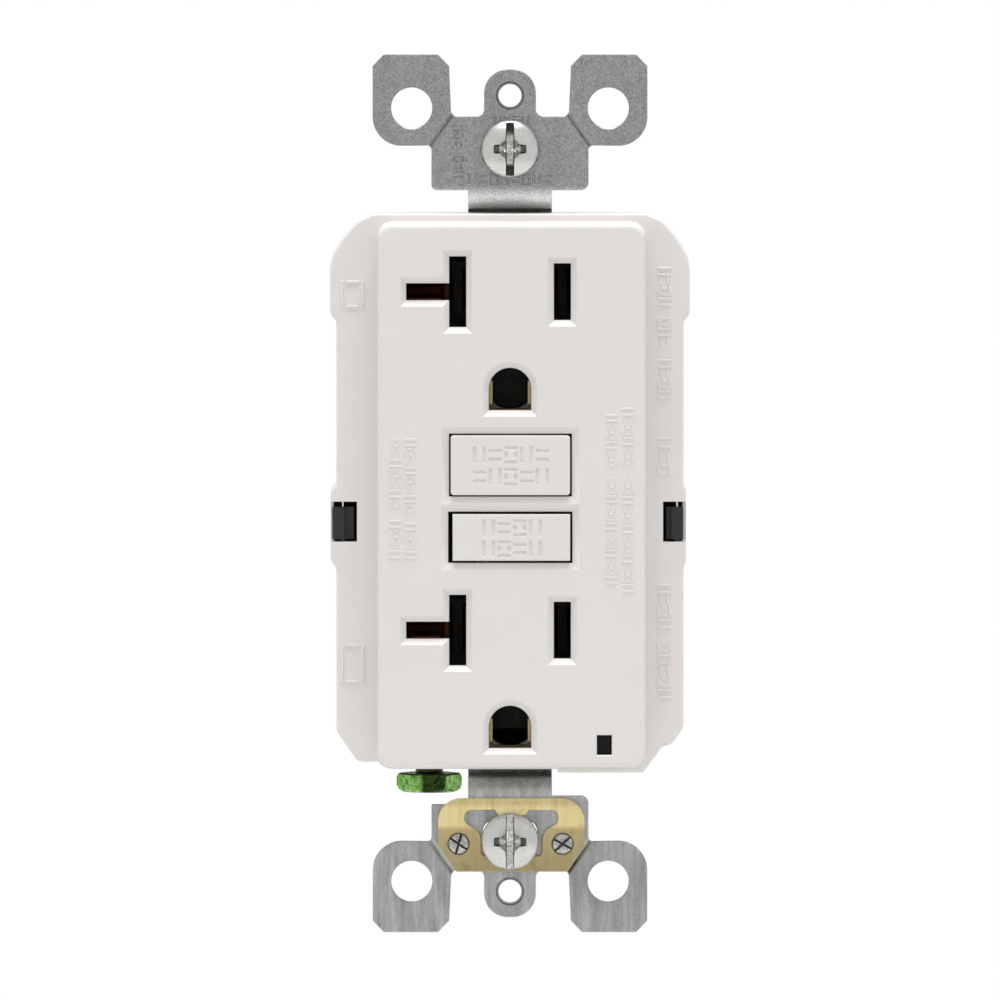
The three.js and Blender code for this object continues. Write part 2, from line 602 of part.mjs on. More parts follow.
// A domed head with a straight slot, on a plain shank, along +Y from its crown.
function pannedScrew({ headR, headH, dome, shankR, length, slotW, slotD }, x, y, z) {
  const profile = [
    [0, y], [headR * 0.45, y + dome * 0.22], [headR * 0.8, y + dome * 0.6], [headR, y + dome],
    [headR, y + headH], [shankR, y + headH],
    [shankR, y + length - 0.6], [shankR - 0.5, y + length], [0, y + length],
  ];
  const screw = turned(profile, x, z, 24);
  return cut(screw, box(x - slotW / 2, x + slotW / 2, y - 1, y + slotD, z - headR - 1, z + headR + 1));
}


const screwRetainer = (z) => cut(barY(3.3, 0.3, 1.1, 0, z), barY(1.85, 0, 2, 0, z, 16));

// Hexagonal head with a rounded underside and a short driver slot below the strap's wing, and its shank
// going up through it.
function groundScrew() {
  const { x, y, headTop, headH, headR, slotHalf, shankR, tip } = GROUND_SCREW;
  const bottom = headTop - headH;
  const hexagon = new THREE.CylinderGeometry(headR, headR, headH, 6).rotateX(Math.PI / 2);
  const hex = solid(hexagon.rotateZ(Math.PI / 6).translate(x, y, headTop - headH / 2));
  const profile = [
    [0, bottom], [headR - 0.8, bottom + 0.05], [headR - 0.25, bottom + 0.35], [headR - 0.02, bottom + 0.85],
    [headR, headTop - 0.6], [headR - 0.15, headTop - 0.15], [headR - 0.4, headTop], [0, headTop],
  ].map(([r, h]) => new THREE.Vector2(r, h));
  const round = solid(new THREE.LatheGeometry(profile, 24).rotateX(Math.PI / 2).translate(x, y, 0));
  const shank = barZ(shankR, headTop - 0.2, tip, x, y);
  const slot = box(x - slotHalf, x + slotHalf, y - 0.45, y + 0.45, bottom - 1, bottom + 0.9);
  return cut(join(hex.intersect(round), shank), slot);
}

function assemblyScrew(x, z) {
  const profile = [
    [0, BACK_Y - 0.4], [2.1, BACK_Y - 0.5], [2.2, BACK_Y - 0.9], [2.2, BACK_Y - 2.0],
    [1.15, BACK_Y - 2.0], [1.15, 0.4], [0.5, -0.4], [0, -0.4],
  ];
  const screw = turned(profile, x, z, 16);
  return cut(screw,
    box(x - 1.3, x + 1.3, BACK_Y - 1.5, BACK_Y + 1, z - 0.3, z + 0.3),
    box(x - 0.3, x + 0.3, BACK_Y - 1.5, BACK_Y + 1, z - 1.3, z + 1.3));
}

// ---- wire terminals ----
function terminalScrew(side, z) {
  const { x0, x1, r } = TERMINAL_HEAD;
  const head = barX(r, side * x0, side * x1, TERMINAL_Y, z, 24);
  const shank = barX(TERMINAL_SHANK_R, side * (x0 + 0.3), side * 12.2, TERMINAL_Y, z);
  const slot = sideBox(side, x1 - 0.9, x1 + 1, TERMINAL_Y - 0.5, TERMINAL_Y + 0.5, z - r - 1, z + r + 1);
  return cut(join(head, shank), slot);
}

function clampPlate(side, z) {
  const { x0, x1, half } = CLAMP;
  const plate = sideBox(side, x0, x1, TERMINAL_Y - half, TERMINAL_Y + half, z - half, z + half);
  return cut(plate, barX(2.3, side * (x0 - 1), side * (x1 + 1), TERMINAL_Y, z));
}

function terminalPlate(side, z, y0) {
  const { x0, x1 } = TERMINAL_PLATE;
  const plate = sideBox(side, x0, x1, y0, TERMINAL_Y + 4, z - 4.2, z + 4.2);
  return cut(plate, barX(2.2, side * 14, side * 17, TERMINAL_Y, z));
}

// ---- contacts ----

// One springy contact leaf, drawn in distance from the blade's middle and depth. It closes in, then flares
// at the mouth.
function leafPoints(baseAt, pinchAt, y0, y1, thick) {
  const pinchY = y0 + 1.6;
  return [
    [baseAt, y1], [pinchAt, pinchY], [pinchAt + 0.5, y0], [pinchAt + 0.5 + thick, y0],
    [pinchAt + thick, pinchY], [baseAt + thick, y1],
  ];
}

function bladeGrip(middleX, z, halfZ) {
  const y0 = -3.2;
  return [-1, 1].map((way) => {
    const points = leafPoints(0.85, 0.55, y0, 8.6, 0.55).map(([d, y]) => [middleX + way * d, y]);
    return slabZ(outline(points), z - halfZ, z + halfZ);
  });
}

// The load side's contact strip: a bar down the body, a grip for a blade at each outlet, and a wire terminal.
function contactStrip(side) {
  const { y0, y1, x0, x1 } = STRIP;
  let strip = join(
    sideBox(side, x0, x1, y0, y1, -19.5, 28),
    sideBox(side, x1 - 0.2, TERMINAL_PLATE.x1, y0, y1, TERMINAL_Z - 3.2, TERMINAL_Z + 3.2),
    terminalPlate(side, TERMINAL_Z, y0),
    sideBox(side, 5.6, x0 + 0.2, y0, y1, 1.2, 6.2),
    barY(1.4, y1 - 0.1, 9.7, side * 7.2, RESET.z, 16),
  );
  for (const { blade } of OUTLETS) {
    const floor = sideBox(side, 4.95, x0 + 0.2, y0, y1, blade - 3.2, blade + 3.2);
    strip = join(strip, floor, ...bladeGrip(side * BLADE_X, blade, 2.6));
    if (side < 0) {
      const leaves = [-1, 1].map((way) => {
        const points = leafPoints(0.85, 0.4, -3.2, 8.6, 0.5).map(([d, y]) => [y, blade + way * d]);
        return slabX(outline(points), -12.2, -8.6);
      });
      strip = join(strip, ...leaves);
    }
  }
  return strip;
}

// Line terminal: the wire plate, an arm between carrier and board, and a prong through the sensing coils.
const COIL_Z = -17.5;
function lineTerminal(side) {
  const y0 = LINE_ARM_Y;
  return join(
    terminalPlate(side, -TERMINAL_Z, y0),
    sideBox(side, 0.8, TERMINAL_PLATE.x1, y0, y0 + 0.8, -TERMINAL_Z - 4.0, -TERMINAL_Z - 1.5),
    sideBox(side, 0.8, 1.7, y0, 23.6, COIL_Z - 0.9, COIL_Z + 0.9),
  );
}

// A moving contact arm: its tip closes on the load strip when the device is set.
const ARM = { pivotZ: -9.0, tipZ: 6.0, y0: 11.2, y1: 11.7 };
function contactArm(side) {
  return join(
    sideBox(side, 5.4, 8.8, ARM.y0, ARM.y1, ARM.pivotZ, ARM.tipZ),
    barY(1.3, 9.85, ARM.y0 + 0.1, side * 7.2, RESET.z, 16),
  );
}

function groundContact(z) {
  const y0 = -4.3;
  const base = cut(box(-4.0, 4.0, 4.2, 4.9, z - 3.3, z + 3.3), barY(2.65, 3, 6, 0, z));
  const leaves = [-1, 1].map((way) => {
    const points = leafPoints(2.9, 2.28, y0, 4.5, 0.55).map(([d, y]) => [way * d, y]);
    return slabZ(outline(points), z - 1.9, z + 1.7);
  });
  return join(base, ...leaves);
}

// ---- buttons ----
function buttonCap({ z, halfX, halfZ }, legHalfX, legHalfZ, legY) {
  const front = FACE_Y - BUTTON_PROUD;
  const ring = (less) => {
    const [x, up] = [halfX - less, halfZ - less];
    return shapePoints(roundedRect(-x, x, z - up, z + up, 0.35), 2);
  };
  const cap = loft([
    { y: front, points: ring(0.2) },
    { y: front + 0.2, points: ring(0) },
    { y: BUTTON_BACK_Y, points: ring(0) },
  ]);
  return join(cap, box(-legHalfX, legHalfX, BUTTON_BACK_Y - 0.2, legY, z - legHalfZ, z + legHalfZ));
}

const resetButton = () => cut(buttonCap(RESET, 1.9, 1.9, 3.0), barY(1.1, -0.5, 4, 0, RESET.z, 16));
const testButton = () => buttonCap(TEST, 1.3, 0.95, 6.9);

const FLANGE_Y = 20.1; // where the reset pin's flange catches the latch plate
function resetPin() {
  const profile = [
    [0, -0.3], [0.95, -0.3], [0.95, FLANGE_Y], [1.7, FLANGE_Y],
    [1.7, FLANGE_Y + 0.5], [0.8, FLANGE_Y + 1.6], [0, FLANGE_Y + 1.6],
  ];
  return turned(profile, 0, RESET.z, 16);
}

// ---- latch and solenoid ----
const PLUNGER_Y = 19.3;
const LATCH = { z0: -2.4, z1: 9.2, y0: 18.9, y1: 19.7, halfX: 2.5 };

function latchBlock() {
  const z0 = RESET.z - 3.4;
  const z1 = RESET.z + 3.0;
  return cut(
    join(box(-4.0, 4.0, 12.1, 22.0, z0, z1), box(-8.7, 8.7, 12.1, 13.6, z0 + 0.6, z1 - 0.6)),
    barY(2.0, 10, 23, 0, RESET.z),
    box(-LATCH.halfX - 0.2, LATCH.halfX + 0.2, LATCH.y0 - 0.2, LATCH.y1 + 0.2, z0 - 1, z1 + 1),
  );
}

// The latch plate's keyhole: narrow round the pin at rest, wide enough for the flange once it has slid down.
function latchPlate() {
  const { halfX, y0, y1, z0, z1 } = LATCH;
  const narrow = box(-1.1, 1.1, y0 - 1, y1 + 1, RESET.z - 1.2, RESET.z + 2.6);
  const wide = barY(1.8, y0 - 1, y1 + 1, 0, RESET.z + 1.8);
  return cut(box(-halfX, halfX, y0, y1, z0, z1), narrow, wide);
}

const SOLENOID = { z0: 11.3, z1: 26.2, half: 4.5 };
function solenoidBobbin() {
  const { z0, z1, half } = SOLENOID;
  const flange = (low) => box(-half, half, PLUNGER_Y - half, PLUNGER_Y + half, low, low + 0.9);
  const tube = barZ(2.7, z0, z1, 0, PLUNGER_Y);
  return cut(join(flange(z0), flange(z1 - 0.9), tube), barZ(2.05, z0 - 1, z1 + 1, 0, PLUNGER_Y));
}

const solenoidWinding = () => cut(
  barZ(4.3, SOLENOID.z0 + 1.1, SOLENOID.z1 - 1.1, 0, PLUNGER_Y, 24),
  barZ(2.9, SOLENOID.z0, SOLENOID.z1, 0, PLUNGER_Y));

function solenoidFrame() {
  const { z0, z1, half } = SOLENOID;
  const end = (low) => box(-half, half + 1.2, PLUNGER_Y - half, PLUNGER_Y + half, low, low + 0.9);
  const back = box(half + 0.3, half + 1.2, PLUNGER_Y - half, PLUNGER_Y + half, z0 - 1.2, z1 + 1.2);
  return cut(join(end(z0 - 1.2), end(z1 + 0.3), back), barZ(2.1, 5, 32, 0, PLUNGER_Y));
}

const PLUNGER_CAP_Z = 29.9;
const solenoidPlunger = () => join(
  barZ(1.85, 12, PLUNGER_CAP_Z + 0.2, 0, PLUNGER_Y),
  barZ(0.9, LATCH.z1 + 0.2, 12.4, 0, PLUNGER_Y, 12),
  barZ(2.9, PLUNGER_CAP_Z, PLUNGER_CAP_Z + 0.8, 0, PLUNGER_Y));

// ---- sensing coils ----
const COIL = { bore: 2.6, wall: 0.8, r: 7.5, y0: 14.5, y1: 23.6 };
function coilHousing() {
  const { bore, wall, r, y0, y1 } = COIL;
  const profile = [
    [bore, y0], [bore + wall, y0], [bore + wall, y1 - wall], [r - wall, y1 - wall],
    [r - wall, y0], [r, y0], [r, y1], [bore, y1], [bore, y0],
  ];
  return turned(profile, 0, COIL_Z, 24);
}

function toroid(y0, y1) {
  const [inner, outer, round] = [3.7, 6.3, 0.4];
  const profile = [
    [inner, y0 + round], [inner + round, y0], [outer - round, y0], [outer, y0 + round],
    [outer, y1 - round], [outer - round, y1], [inner + round, y1], [inner, y1 - round], [inner, y0 + round],
  ];
  return turned(profile, 0, COIL_Z, 20);
}

// ---- carrier, board and electronics ----

// A plate that is wide at the middle and both ends and narrow between the wire terminals.
function waistedShape(narrow, wide, endZ, lowEndZ = -endZ) {
  const edge = TERMINAL_Z - 7;
  const far = TERMINAL_Z + 7;
  const side = [
    [wide, endZ], [wide, far], [narrow, far], [narrow, edge], [wide, edge],
    [wide, -edge], [narrow, -edge], [narrow, -far], [wide, -far], [wide, lowEndZ],
  ];
  return outline([...side, ...side.map(([x, z]) => [-x, z]).reverse()]);
}

function contactCarrier() {
  const y1 = CARRIER_Y + 1.4;
  let carrier = slab(waistedShape(12.9, 14.9, 29.6, -28.9), CARRIER_Y, y1);
  const ribs = [-1, 1].flatMap((side) => [
    sideBox(side, 13.1, 14.9, 6.6, CARRIER_Y + 0.1, 21, 29.6),
    sideBox(side, 13.1, 14.9, 6.6, CARRIER_Y + 0.1, -6, 6),
    sideBox(side, 13.1, 14.9, 6.6, CARRIER_Y + 0.1, -28.9, -21),
  ]);
  carrier = join(carrier, ...ribs, box(-12.5, 12.5, 7.0, CARRIER_Y + 0.1, 28.5, 29.6));
  for (const { ground } of OUTLETS) carrier = cut(carrier, barY(2.9, 5, 13, 0, ground));
  carrier = cut(carrier, box(-3.9, 3.9, 5, 13, RESET.z - 3.6, RESET.z + 3.4));
  for (const side of [-1, 1]) carrier = cut(carrier, barY(1.9, 5, 13, side * 7.2, RESET.z));
  const lampWay = box(LAMP.x - 1.3, LAMP.x + 1.3, 5, 13, -32, LAMP.z + 1.6);
  const groundScrewWay = box(-14.5, -5, 5, 13, -30, -25.5);
  return cut(carrier, lampWay, groundScrewWay);
}

function circuitBoard() {
  const board = slab(waistedShape(12.9, 15.0, 28.5, -29.3), BOARD_Y, BOARD_Y + BOARD_T);
  return cut(board,
    box(-9.2, 9.2, 10, 16, RESET.z - 4.2, RESET.z + 4.2),
    barY(2.4, 10, 16, 0, COIL_Z),
    box(-14.5, -5, 10, 16, -31, -25.2));
}

function varistor() {
  const [x, y, z, r, halfT] = [10.5, 19.0, -22.5, 3.4, 1.1];
  const legs = [-1.9, 1.9].map((dz) => box(x - 0.4, x + 0.2, PARTS_Y, 16.5, z + dz - 0.3, z + dz + 0.3));
  return join(barX(r, x - halfT, x + halfT, y, z, 24), ...legs);
}

function capacitor() {
  const [r, top] = [2.4, 21.5];
  const profile = [
    [0, PARTS_Y], [r, PARTS_Y], [r, PARTS_Y + 0.6], [r - 0.2, PARTS_Y + 0.8], [r, PARTS_Y + 1.0],
    [r, top - 0.3], [r - 0.3, top], [0, top],
  ];
  return turned(profile, 9.6, -4.0);
}

function controlChip() {
  const [x, z, halfX, halfZ, reach] = [-9.9, 24.0, 2.0, 2.5, 2.4];
  const pitch = 1.27;
  const legs = [-1, 1].flatMap((side) => [-1.5, -0.5, 0.5, 1.5].map((place) => {
    const [legX, legZ] = [x + side * reach, z + place * pitch];
    return box(legX - 0.6, legX + 0.6, PARTS_Y, PARTS_Y + 0.5, legZ - 0.2, legZ + 0.2);
  }));
  return join(box(x - halfX, x + halfX, PARTS_Y + 0.1, PARTS_Y + 1.6, z - halfZ, z + halfZ), ...legs);
}

function thyristor() {
  const [x, z, r, flatZ, pitch] = [9.8, 24.6, 2.3, 23.4, 1.27];
  const shape = new THREE.Shape();
  shape.absarc(x, z, r, 0, Math.PI);
  shape.lineTo(x - r, flatZ);
  shape.lineTo(x + r, flatZ);
  const legs = [x - pitch, x, x + pitch].map((legX) =>
    box(legX - 0.25, legX + 0.25, PARTS_Y, 17.2, z - 0.3, z + 0.2));
  return join(slab(shape, 17, 21.5), ...legs);
}

function resistor() {
  const [x, y, r, wireR] = [-9.8, 16.2, 1.15, 0.35];
  const legs = [-8.0, 0.8].map((z) => box(x - 0.3, x + 0.3, PARTS_Y, y + 0.2, z - 0.3, z + 0.3));
  return join(barZ(r, -6.6, -0.6, x, y, 16), barZ(wireR, -8.0, 0.8, x, y, 8), ...legs);
}

function statusLight() {
  const { x } = LAMP;
  return join(
    box(x - 1.0, x + 1.0, 11.7, 12.4, -28.6, -25.8),
    box(x - 0.7, x + 0.7, 11.2, 11.8, -28.4, -26.0));
}

// Carries the light from the board to the cover's window, with a foot that reaches over the light.
function lightPipe() {
  const { x, z } = LAMP;
  return join(
    box(x - 0.75, x + 0.75, FACE_Y + 0.5, 10.9, z - 1.05, z + 1.05),
    box(x - 0.75, x + 0.75, 10.0, 10.9, z - 1.05, z + 1.4));
}

function testBlade() {
  const { z } = TEST;
  return join(box(-3.0, 3.0, 8.5, 8.9, z - 1.2, z + 1.2), box(-3.0, -2.2, 8.5, 9.3, z - 1.2, z - 0.4));
}

// ---- assembly ----
const root = new THREE.Group();

function add(name, made, finish) {
  const geometry = made.isBufferGeometry ? made : geometryOf(made);
  const mesh = new THREE.Mesh(geometry, finish);
  mesh.name = name;
  root.add(mesh);
  return mesh;
}

add("front_cover", frontCover(), WHITE);
add("rear_housing", rearHousing(), BLACK);
add("mounting_strap", mountingStrap(), ZINC);
add("grounding_clip", groundingClip(), BRASS);
for (const [name, x] of RIVETS) add(name, clipRivet(x), ZINC);
for (const { name, z, headY } of MOUNT_SCREWS) {
  add(`mounting_screw_${name}`, pannedScrew(MOUNT_SCREW, 0, headY, z), SCREW_ZINC);
  add(`screw_retainer_${name}`, screwRetainer(z), FIBRE);
}
add("ground_screw", groundScrew(), GREEN);
for (const [name, x, z] of BODY_SCREWS) add(name, assemblyScrew(x, z), SCREW_ZINC);

for (const { name, ground } of OUTLETS) add(`ground_contact_${name}`, groundContact(ground), BRASS);
for (const [name, side, finish] of [["neutral", -1, SCREW_ZINC], ["hot", 1, BRASS]]) {
  add(`${name}_contact_strip`, contactStrip(side), BRONZE);
  add(`line_${name}_terminal`, lineTerminal(side), BRASS);
  add(`${name}_contact_arm`, contactArm(side), BRONZE);
  for (const [end, z] of [["line", -TERMINAL_Z], ["load", TERMINAL_Z]]) {
    add(`${end}_${name}_screw`, terminalScrew(side, z), finish);
    add(`${end}_${name}_clamp`, clampPlate(side, z), SCREW_ZINC);
  }
}

add("reset_button", resetButton(), WHITE);
add("reset_pin", resetPin(), SPRING_STEEL);
const springFrom = BUTTON_BACK_Y + 0.15;
const springLength = STRAP_CORE_Y - 0.15 - springFrom;
const resetSpring = add("reset_spring", springGeometry(3.15, 0.3, springLength, 4.5), SPRING_STEEL);
resetSpring.position.set(0, springFrom, RESET.z);
add("test_button", testButton(), WHITE);
const testSpring = add("test_spring", springGeometry(2.3, 0.25, springLength, 4.5), SPRING_STEEL);
testSpring.position.set(0, springFrom, TEST.z);
add("test_blade", testBlade(), BRONZE);
add("latch_block", latchBlock(), CARRIER_GREY);
add("latch_plate", latchPlate(), SPRING_STEEL);

add("contact_carrier", contactCarrier(), CARRIER_GREY);
add("circuit_board", circuitBoard(), BOARD_GREEN);
add("coil_housing", coilHousing(), BLACK);
add("sense_coil", toroid(15.0, 18.4), COPPER);
add("neutral_coil", toroid(18.9, 22.3), COPPER);
add("solenoid_bobbin", solenoidBobbin(), BLACK);
add("solenoid_winding", solenoidWinding(), COPPER);
add("solenoid_frame", solenoidFrame(), ZINC);
add("solenoid_plunger", solenoidPlunger(), SPRING_STEEL);
const plungerSpringZ = SOLENOID.z1 + 1.25;
const plungerSpringLength = PLUNGER_CAP_Z - plungerSpringZ - 0.15;
const plungerCoil = springGeometry(2.45, 0.22, plungerSpringLength, 2.5);
const plungerSpring = add("plunger_spring", plungerCoil, SPRING_STEEL);
plungerSpring.rotation.x = Math.PI / 2;
plungerSpring.position.set(0, PLUNGER_Y, plungerSpringZ);

add("varistor", varistor(), VARISTOR_BLUE);
add("capacitor", capacitor(), COMPONENT);
add("control_chip", controlChip(), COMPONENT);
add("thyristor", thyristor(), COMPONENT);
add("resistor", resistor(), FIBRE);
add("status_light", statusLight(), CLEAR);
add("light_pipe", lightPipe(), CLEAR);

export default root;
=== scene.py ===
"""The looks of a 20 A duplex ground-fault receptacle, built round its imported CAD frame.

X is right as seen from the front, +Y goes into the wall and +Z is up. Sizes are in millimetres, and the
mesh helpers turn them into metres.
"""

from math import atan2, copysign, cos, dist, pi, radians, sin, tan

import bmesh
import bpy
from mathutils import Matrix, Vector
from mathutils.geometry import delaunay_2d_cdt


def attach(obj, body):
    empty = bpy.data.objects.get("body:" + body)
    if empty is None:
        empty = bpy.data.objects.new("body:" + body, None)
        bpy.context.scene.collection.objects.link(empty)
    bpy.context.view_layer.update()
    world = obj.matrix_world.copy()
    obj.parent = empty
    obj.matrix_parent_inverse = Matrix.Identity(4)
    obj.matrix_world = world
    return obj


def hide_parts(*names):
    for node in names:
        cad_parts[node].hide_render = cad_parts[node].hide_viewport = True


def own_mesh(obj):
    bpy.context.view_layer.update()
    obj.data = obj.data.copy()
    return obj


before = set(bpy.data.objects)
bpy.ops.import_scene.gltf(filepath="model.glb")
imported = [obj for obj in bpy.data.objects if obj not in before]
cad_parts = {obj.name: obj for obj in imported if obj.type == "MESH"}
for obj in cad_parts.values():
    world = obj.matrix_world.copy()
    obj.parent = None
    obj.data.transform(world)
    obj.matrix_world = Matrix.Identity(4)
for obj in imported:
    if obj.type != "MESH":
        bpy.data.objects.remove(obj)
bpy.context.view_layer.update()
MM = 0.001

# ---- the cover ----
FACE_Y = -7.4
FACE_X, FACE_HALF_Z, FACE_CORNER = (-16.05, 16.4), 33.05, 1.8
FACE_BACK = FACE_Y + 1.9
RIM_Y = -2.6
SEAM_Y = 5.0
RIM_HALF_X = 21.1
RIM_TOP_Z = 34.1
LOBE_X = {"left": 21.8, "right": 21.4}
WINDOW = {"x": 18.6, "z0": -5.8, "z1": -0.9, "ledge_x": 20.4, "ledge_y": 0.4}
# walls inside the cover, on both sides, as (x range, z range, front, back): the tongues over the terminals,
# the lips inside the seam, and the ribs between the terminals and the middle
COVER_WALLS = (
    ((13.4, 14.6), (9.2, 17.8), FACE_Y + 1.0, 7.9),
    ((13.4, 14.6), (-17.8, -9.2), FACE_Y + 1.0, 10.8),
    ((15.2, 15.9), (-24.5, 24.5), RIM_Y + 1.5, SEAM_Y + 0.9),
    ((8.4, 9.1), (8.4, 18.6), FACE_Y + 1.0, 9.2),
    ((8.4, 9.1), (-9.3, -8.4), FACE_Y + 1.0, 9.2),
)
# the same for the walls on the carrier's back that part the four terminals from the board
CARRIER_WALLS = (((11.5, 12.1), (-17.2, -8.4), 10.7, 12.5), ((11.5, 12.1), (8.4, 18.6), 10.7, 12.5))

# ---- the openings of the face, with bevels as (width, depth, radius of the lip) ----
SLOT_BEVEL, BUTTON_BEVEL, LAMP_BEVEL = (0.75, 0.75, 0.06), (0.86, 0.45, 0.04), (0.13, 0.13, 0.03)
OUTLETS = (("upper", 24.76, 12.95), ("lower", -16.35, -28.1))  # height of the slots and of the ground hole
BLADE_X = 6.35
SLOT_HALF_W = 1.03
HOT_HALF, NEUTRAL_HALF = 3.45, 4.3
CROSS_X = -12.6
GROUND_R = 2.58
LAMP_X, LAMP_Z = (10.55, 12.35), (-31.48, -29.08)

# ---- the buttons ----
# the leg is (half width, half height, end), a row of marks is (count, length, height), and the two rows
# stand at (x, above the middle, below the middle)
BUTTONS = {
    "reset": {
        "cap_x": (-7.2, 7.28), "cap_z": (0.1, 7.34), "corner": 0.36, "hole_x": (-7.4, 7.5),
        "hole_z": (-0.1, 7.54), "leg": (1.9, 1.9, 3.0), "strap_hole": (2.6, 2.6),
        "row": (5, 9.5, 1.75), "rows": (0.1, 1.27, 1.37),
    },
    "test": {
        "cap_x": (-6.97, 7.3), "cap_z": (-7.87, -2.23), "corner": 0, "hole_x": (-7.5, 7.56),
        "hole_z": (-8.17, -1.93), "leg": (1.3, 0.95, 6.9), "strap_hole": (1.7, 1.3),
        "row": (4, 7.6, 1.65), "rows": (0.25, 1.2, 1.35),
    },
}
BUTTON_FRONT = FACE_Y - 0.25
BUTTON_BACK = -2.8

# ---- the strap ----
STRAP_T = 1.3
CORE_Y, CORE_HALF_X = 5.2, 4.1
NECK_HALF_X = 5.1
BEND_R, BEND_Z, BEND_STEPS = 1.75, 37.0, 16  # the radius is to the middle of the sheet
TAB_Z, TAB_R, TAB_HOLE_R = 48.42, 3.15, 1.4
THREADED = 0.2  # a hole whose mouth is wider than this starts with a thread's groove
EAR_X, EAR_R = 11.95, 2.5
# inner edges as (height, corner radius), ear holes, width of the break-off grooves, and the mounting slot
# as (height, half height, half width, corner radius)
STRAP_ENDS = {
    1: {
        "left": (36.9, 0.7), "right": (36.9, 1.0), "ear_z": 46.9, "groove": 0.62,
        "slot": (41.67, 2.3, 3.5, 2.3),
    },
    -1: {
        "left": (36.8, 0.9), "right": (37.85, 0.2), "ear_z": 47.2, "groove": 0.9,
        "slot": (42.05, 2.2, 3.3, 1.2),
    },
}
GROOVE_FROM, GROOVE_TO, GROOVE_DEPTH = (7.2, 45.75), (9.65, 42.3), 0.27
GROUND_SCREW = (-9.85, 9.6, -32.6)
CLIP_FRONT, CLIP_BACK = -STRAP_T - 0.45, -STRAP_T - 0.05
RIVETS, RIVET_Z = {"left": (-6.25, 0.6), "right": (6.4, -0.75)}, -42.6  # x, and the turn of the cross
SCREWS = {"upper": (41.97, -3.55), "lower": (-42.27, -4.0)}  # height, and depth of the head's crown
SCREW_R = 3.48

# ---- the springs ----
# node, joint, axis, where the fixed and the free end lie on it, and the joint's travel
SPRINGS = (
    ("reset_spring", "reset_press", (0, 1, 0), 5.05, -2.65, 1.8),
    ("test_spring", "test_press", (0, 1, 0), 5.05, -2.65, 1.5),
    ("plunger_spring", "plunger_pull", (0, 0, 1), 27.45, 29.75, 2.0),
)


# ---- outlines ----


def ccw(points):
    """The outline, turned round if it runs clockwise, with doubled points dropped."""
    kept = [p for i, p in enumerate(points) if dist(p, points[i - 1]) > 1e-4]
    area = sum(a[0] * b[1] - b[0] * a[1] for a, b in zip(kept, kept[1:] + kept[:1]))
    return kept if area > 0 else kept[::-1]


def outline(corners, steps=6):
    """A closed outline from (a, b, radius) corners, each turned through an arc of its radius."""
    points = []
    for i, (x, z, radius) in enumerate(corners):
        here = Vector((x, z))
        before = here - Vector(corners[i - 1][:2])
        after = Vector(corners[(i + 1) % len(corners)][:2]) - here
        u, w = before.normalized(), after.normalized()
        turn = atan2(u.x * w.y - u.y * w.x, u.dot(w))
        if radius <= 0 or abs(turn) < 0.02:
            points.append((x, z))
            continue
        half = tan(abs(turn) / 2)
        reach = min(radius * half, before.length / 2, after.length / 2)
        inward = Vector((-u.y, u.x)) * copysign(reach / half, turn)
        start = here - u * reach
        centre = start + inward
        arm = start - centre
        count = max(2, round(steps * abs(turn) / (pi / 2)))
        for k in range(count + 1):
            c, s = cos(turn * k / count), sin(turn * k / count)
            points.append((centre.x + arm.x * c - arm.y * s, centre.y + arm.x * s + arm.y * c))
    return ccw(points)


def rect(x0, x1, z0, z1, radius=0.0, steps=3):
    return outline([(x0, z0, radius), (x1, z0, radius), (x1, z1, radius), (x0, z1, radius)], steps)


def sided(sign, near, far):
    """Two distances from the middle as places on one side of it, in rising order."""
    return sorted((sign * near, sign * far))


def circle(x, z, radius, count):
    turns = [2 * pi * k / count for k in range(count)]
    return [(x + radius * cos(t), z + radius * sin(t)) for t in turns]


def bar(x0, z0, x1, z1, width):
    """A thin straight stroke between two points."""
    along = Vector((x1 - x0, z1 - z0)).normalized() * width / 2
    side = Vector((-along.y, along.x))
    ends = [Vector((x0, z0)) - along, Vector((x1, z1)) + along]
    corners = [ends[0] + side, ends[0] - side, ends[1] - side, ends[1] + side]
    return outline([(c.x, c.y, width * 0.4) for c in corners], 2)


def offset(points, distance):
    """The outline moved outwards by a distance, with mitred corners. Where a move inwards would turn a
    tight arc over, the arc's points gather into one."""
    corners = [Vector(p) for p in points]
    count = len(corners)
    moved, folds = [], []
    for i, here in enumerate(corners):
        u = (here - corners[i - 1]).normalized()
        w = (corners[(i + 1) % count] - here).normalized()
        a, b = Vector((u.y, -u.x)), Vector((w.y, -w.x))
        moved.append(here + (a + b) * (distance / max(0.3, 1 + a.dot(b))))
    for i in range(count):
        j = (i + 1) % count
        folds.append((moved[j] - moved[i]).dot(corners[j] - corners[i]) < 0)
    start, run = folds.index(False) + 1, []
    for k in range(start, start + count):
        run.append(k % count)
        if not folds[k % count]:
            middle = sum((moved[i] for i in run), Vector((0, 0))) / len(run)
            for i in run:
                moved[i] = middle
            run = []
    return [tuple(p) for p in moved]


def eased(path, radii, steps=4):
    """An open (offset, depth) path whose inner corners are rounded: one radius for each inner corner."""
    out = [path[0]]
    for i, radius in enumerate(radii, 1):
        here = Vector(path[i])
        back, on = Vector(path[i - 1]) - here, Vector(path[i + 1]) - here
        reach = min(radius, back.length * 0.48, on.length * 0.48)
        a, b = here + back.normalized() * reach, here + on.normalized() * reach
        for k in range(steps + 1):
            t = k / steps
            out.append(tuple(a * (1 - t) ** 2 + here * 2 * t * (1 - t) + b * t * t))
    return out + [path[-1]]


def within(point, loop):
    """Whether a point lies inside an outline, by counting the edges to its right."""
    hits = 0
    for a, b in zip(loop, loop[1:] + loop[:1]):
        if (a.y > point.y) != (b.y > point.y):
            hits += point.x < a.x + (b.x - a.x) * (point.y - a.y) / (b.y - a.y)
    return hits % 2 == 1


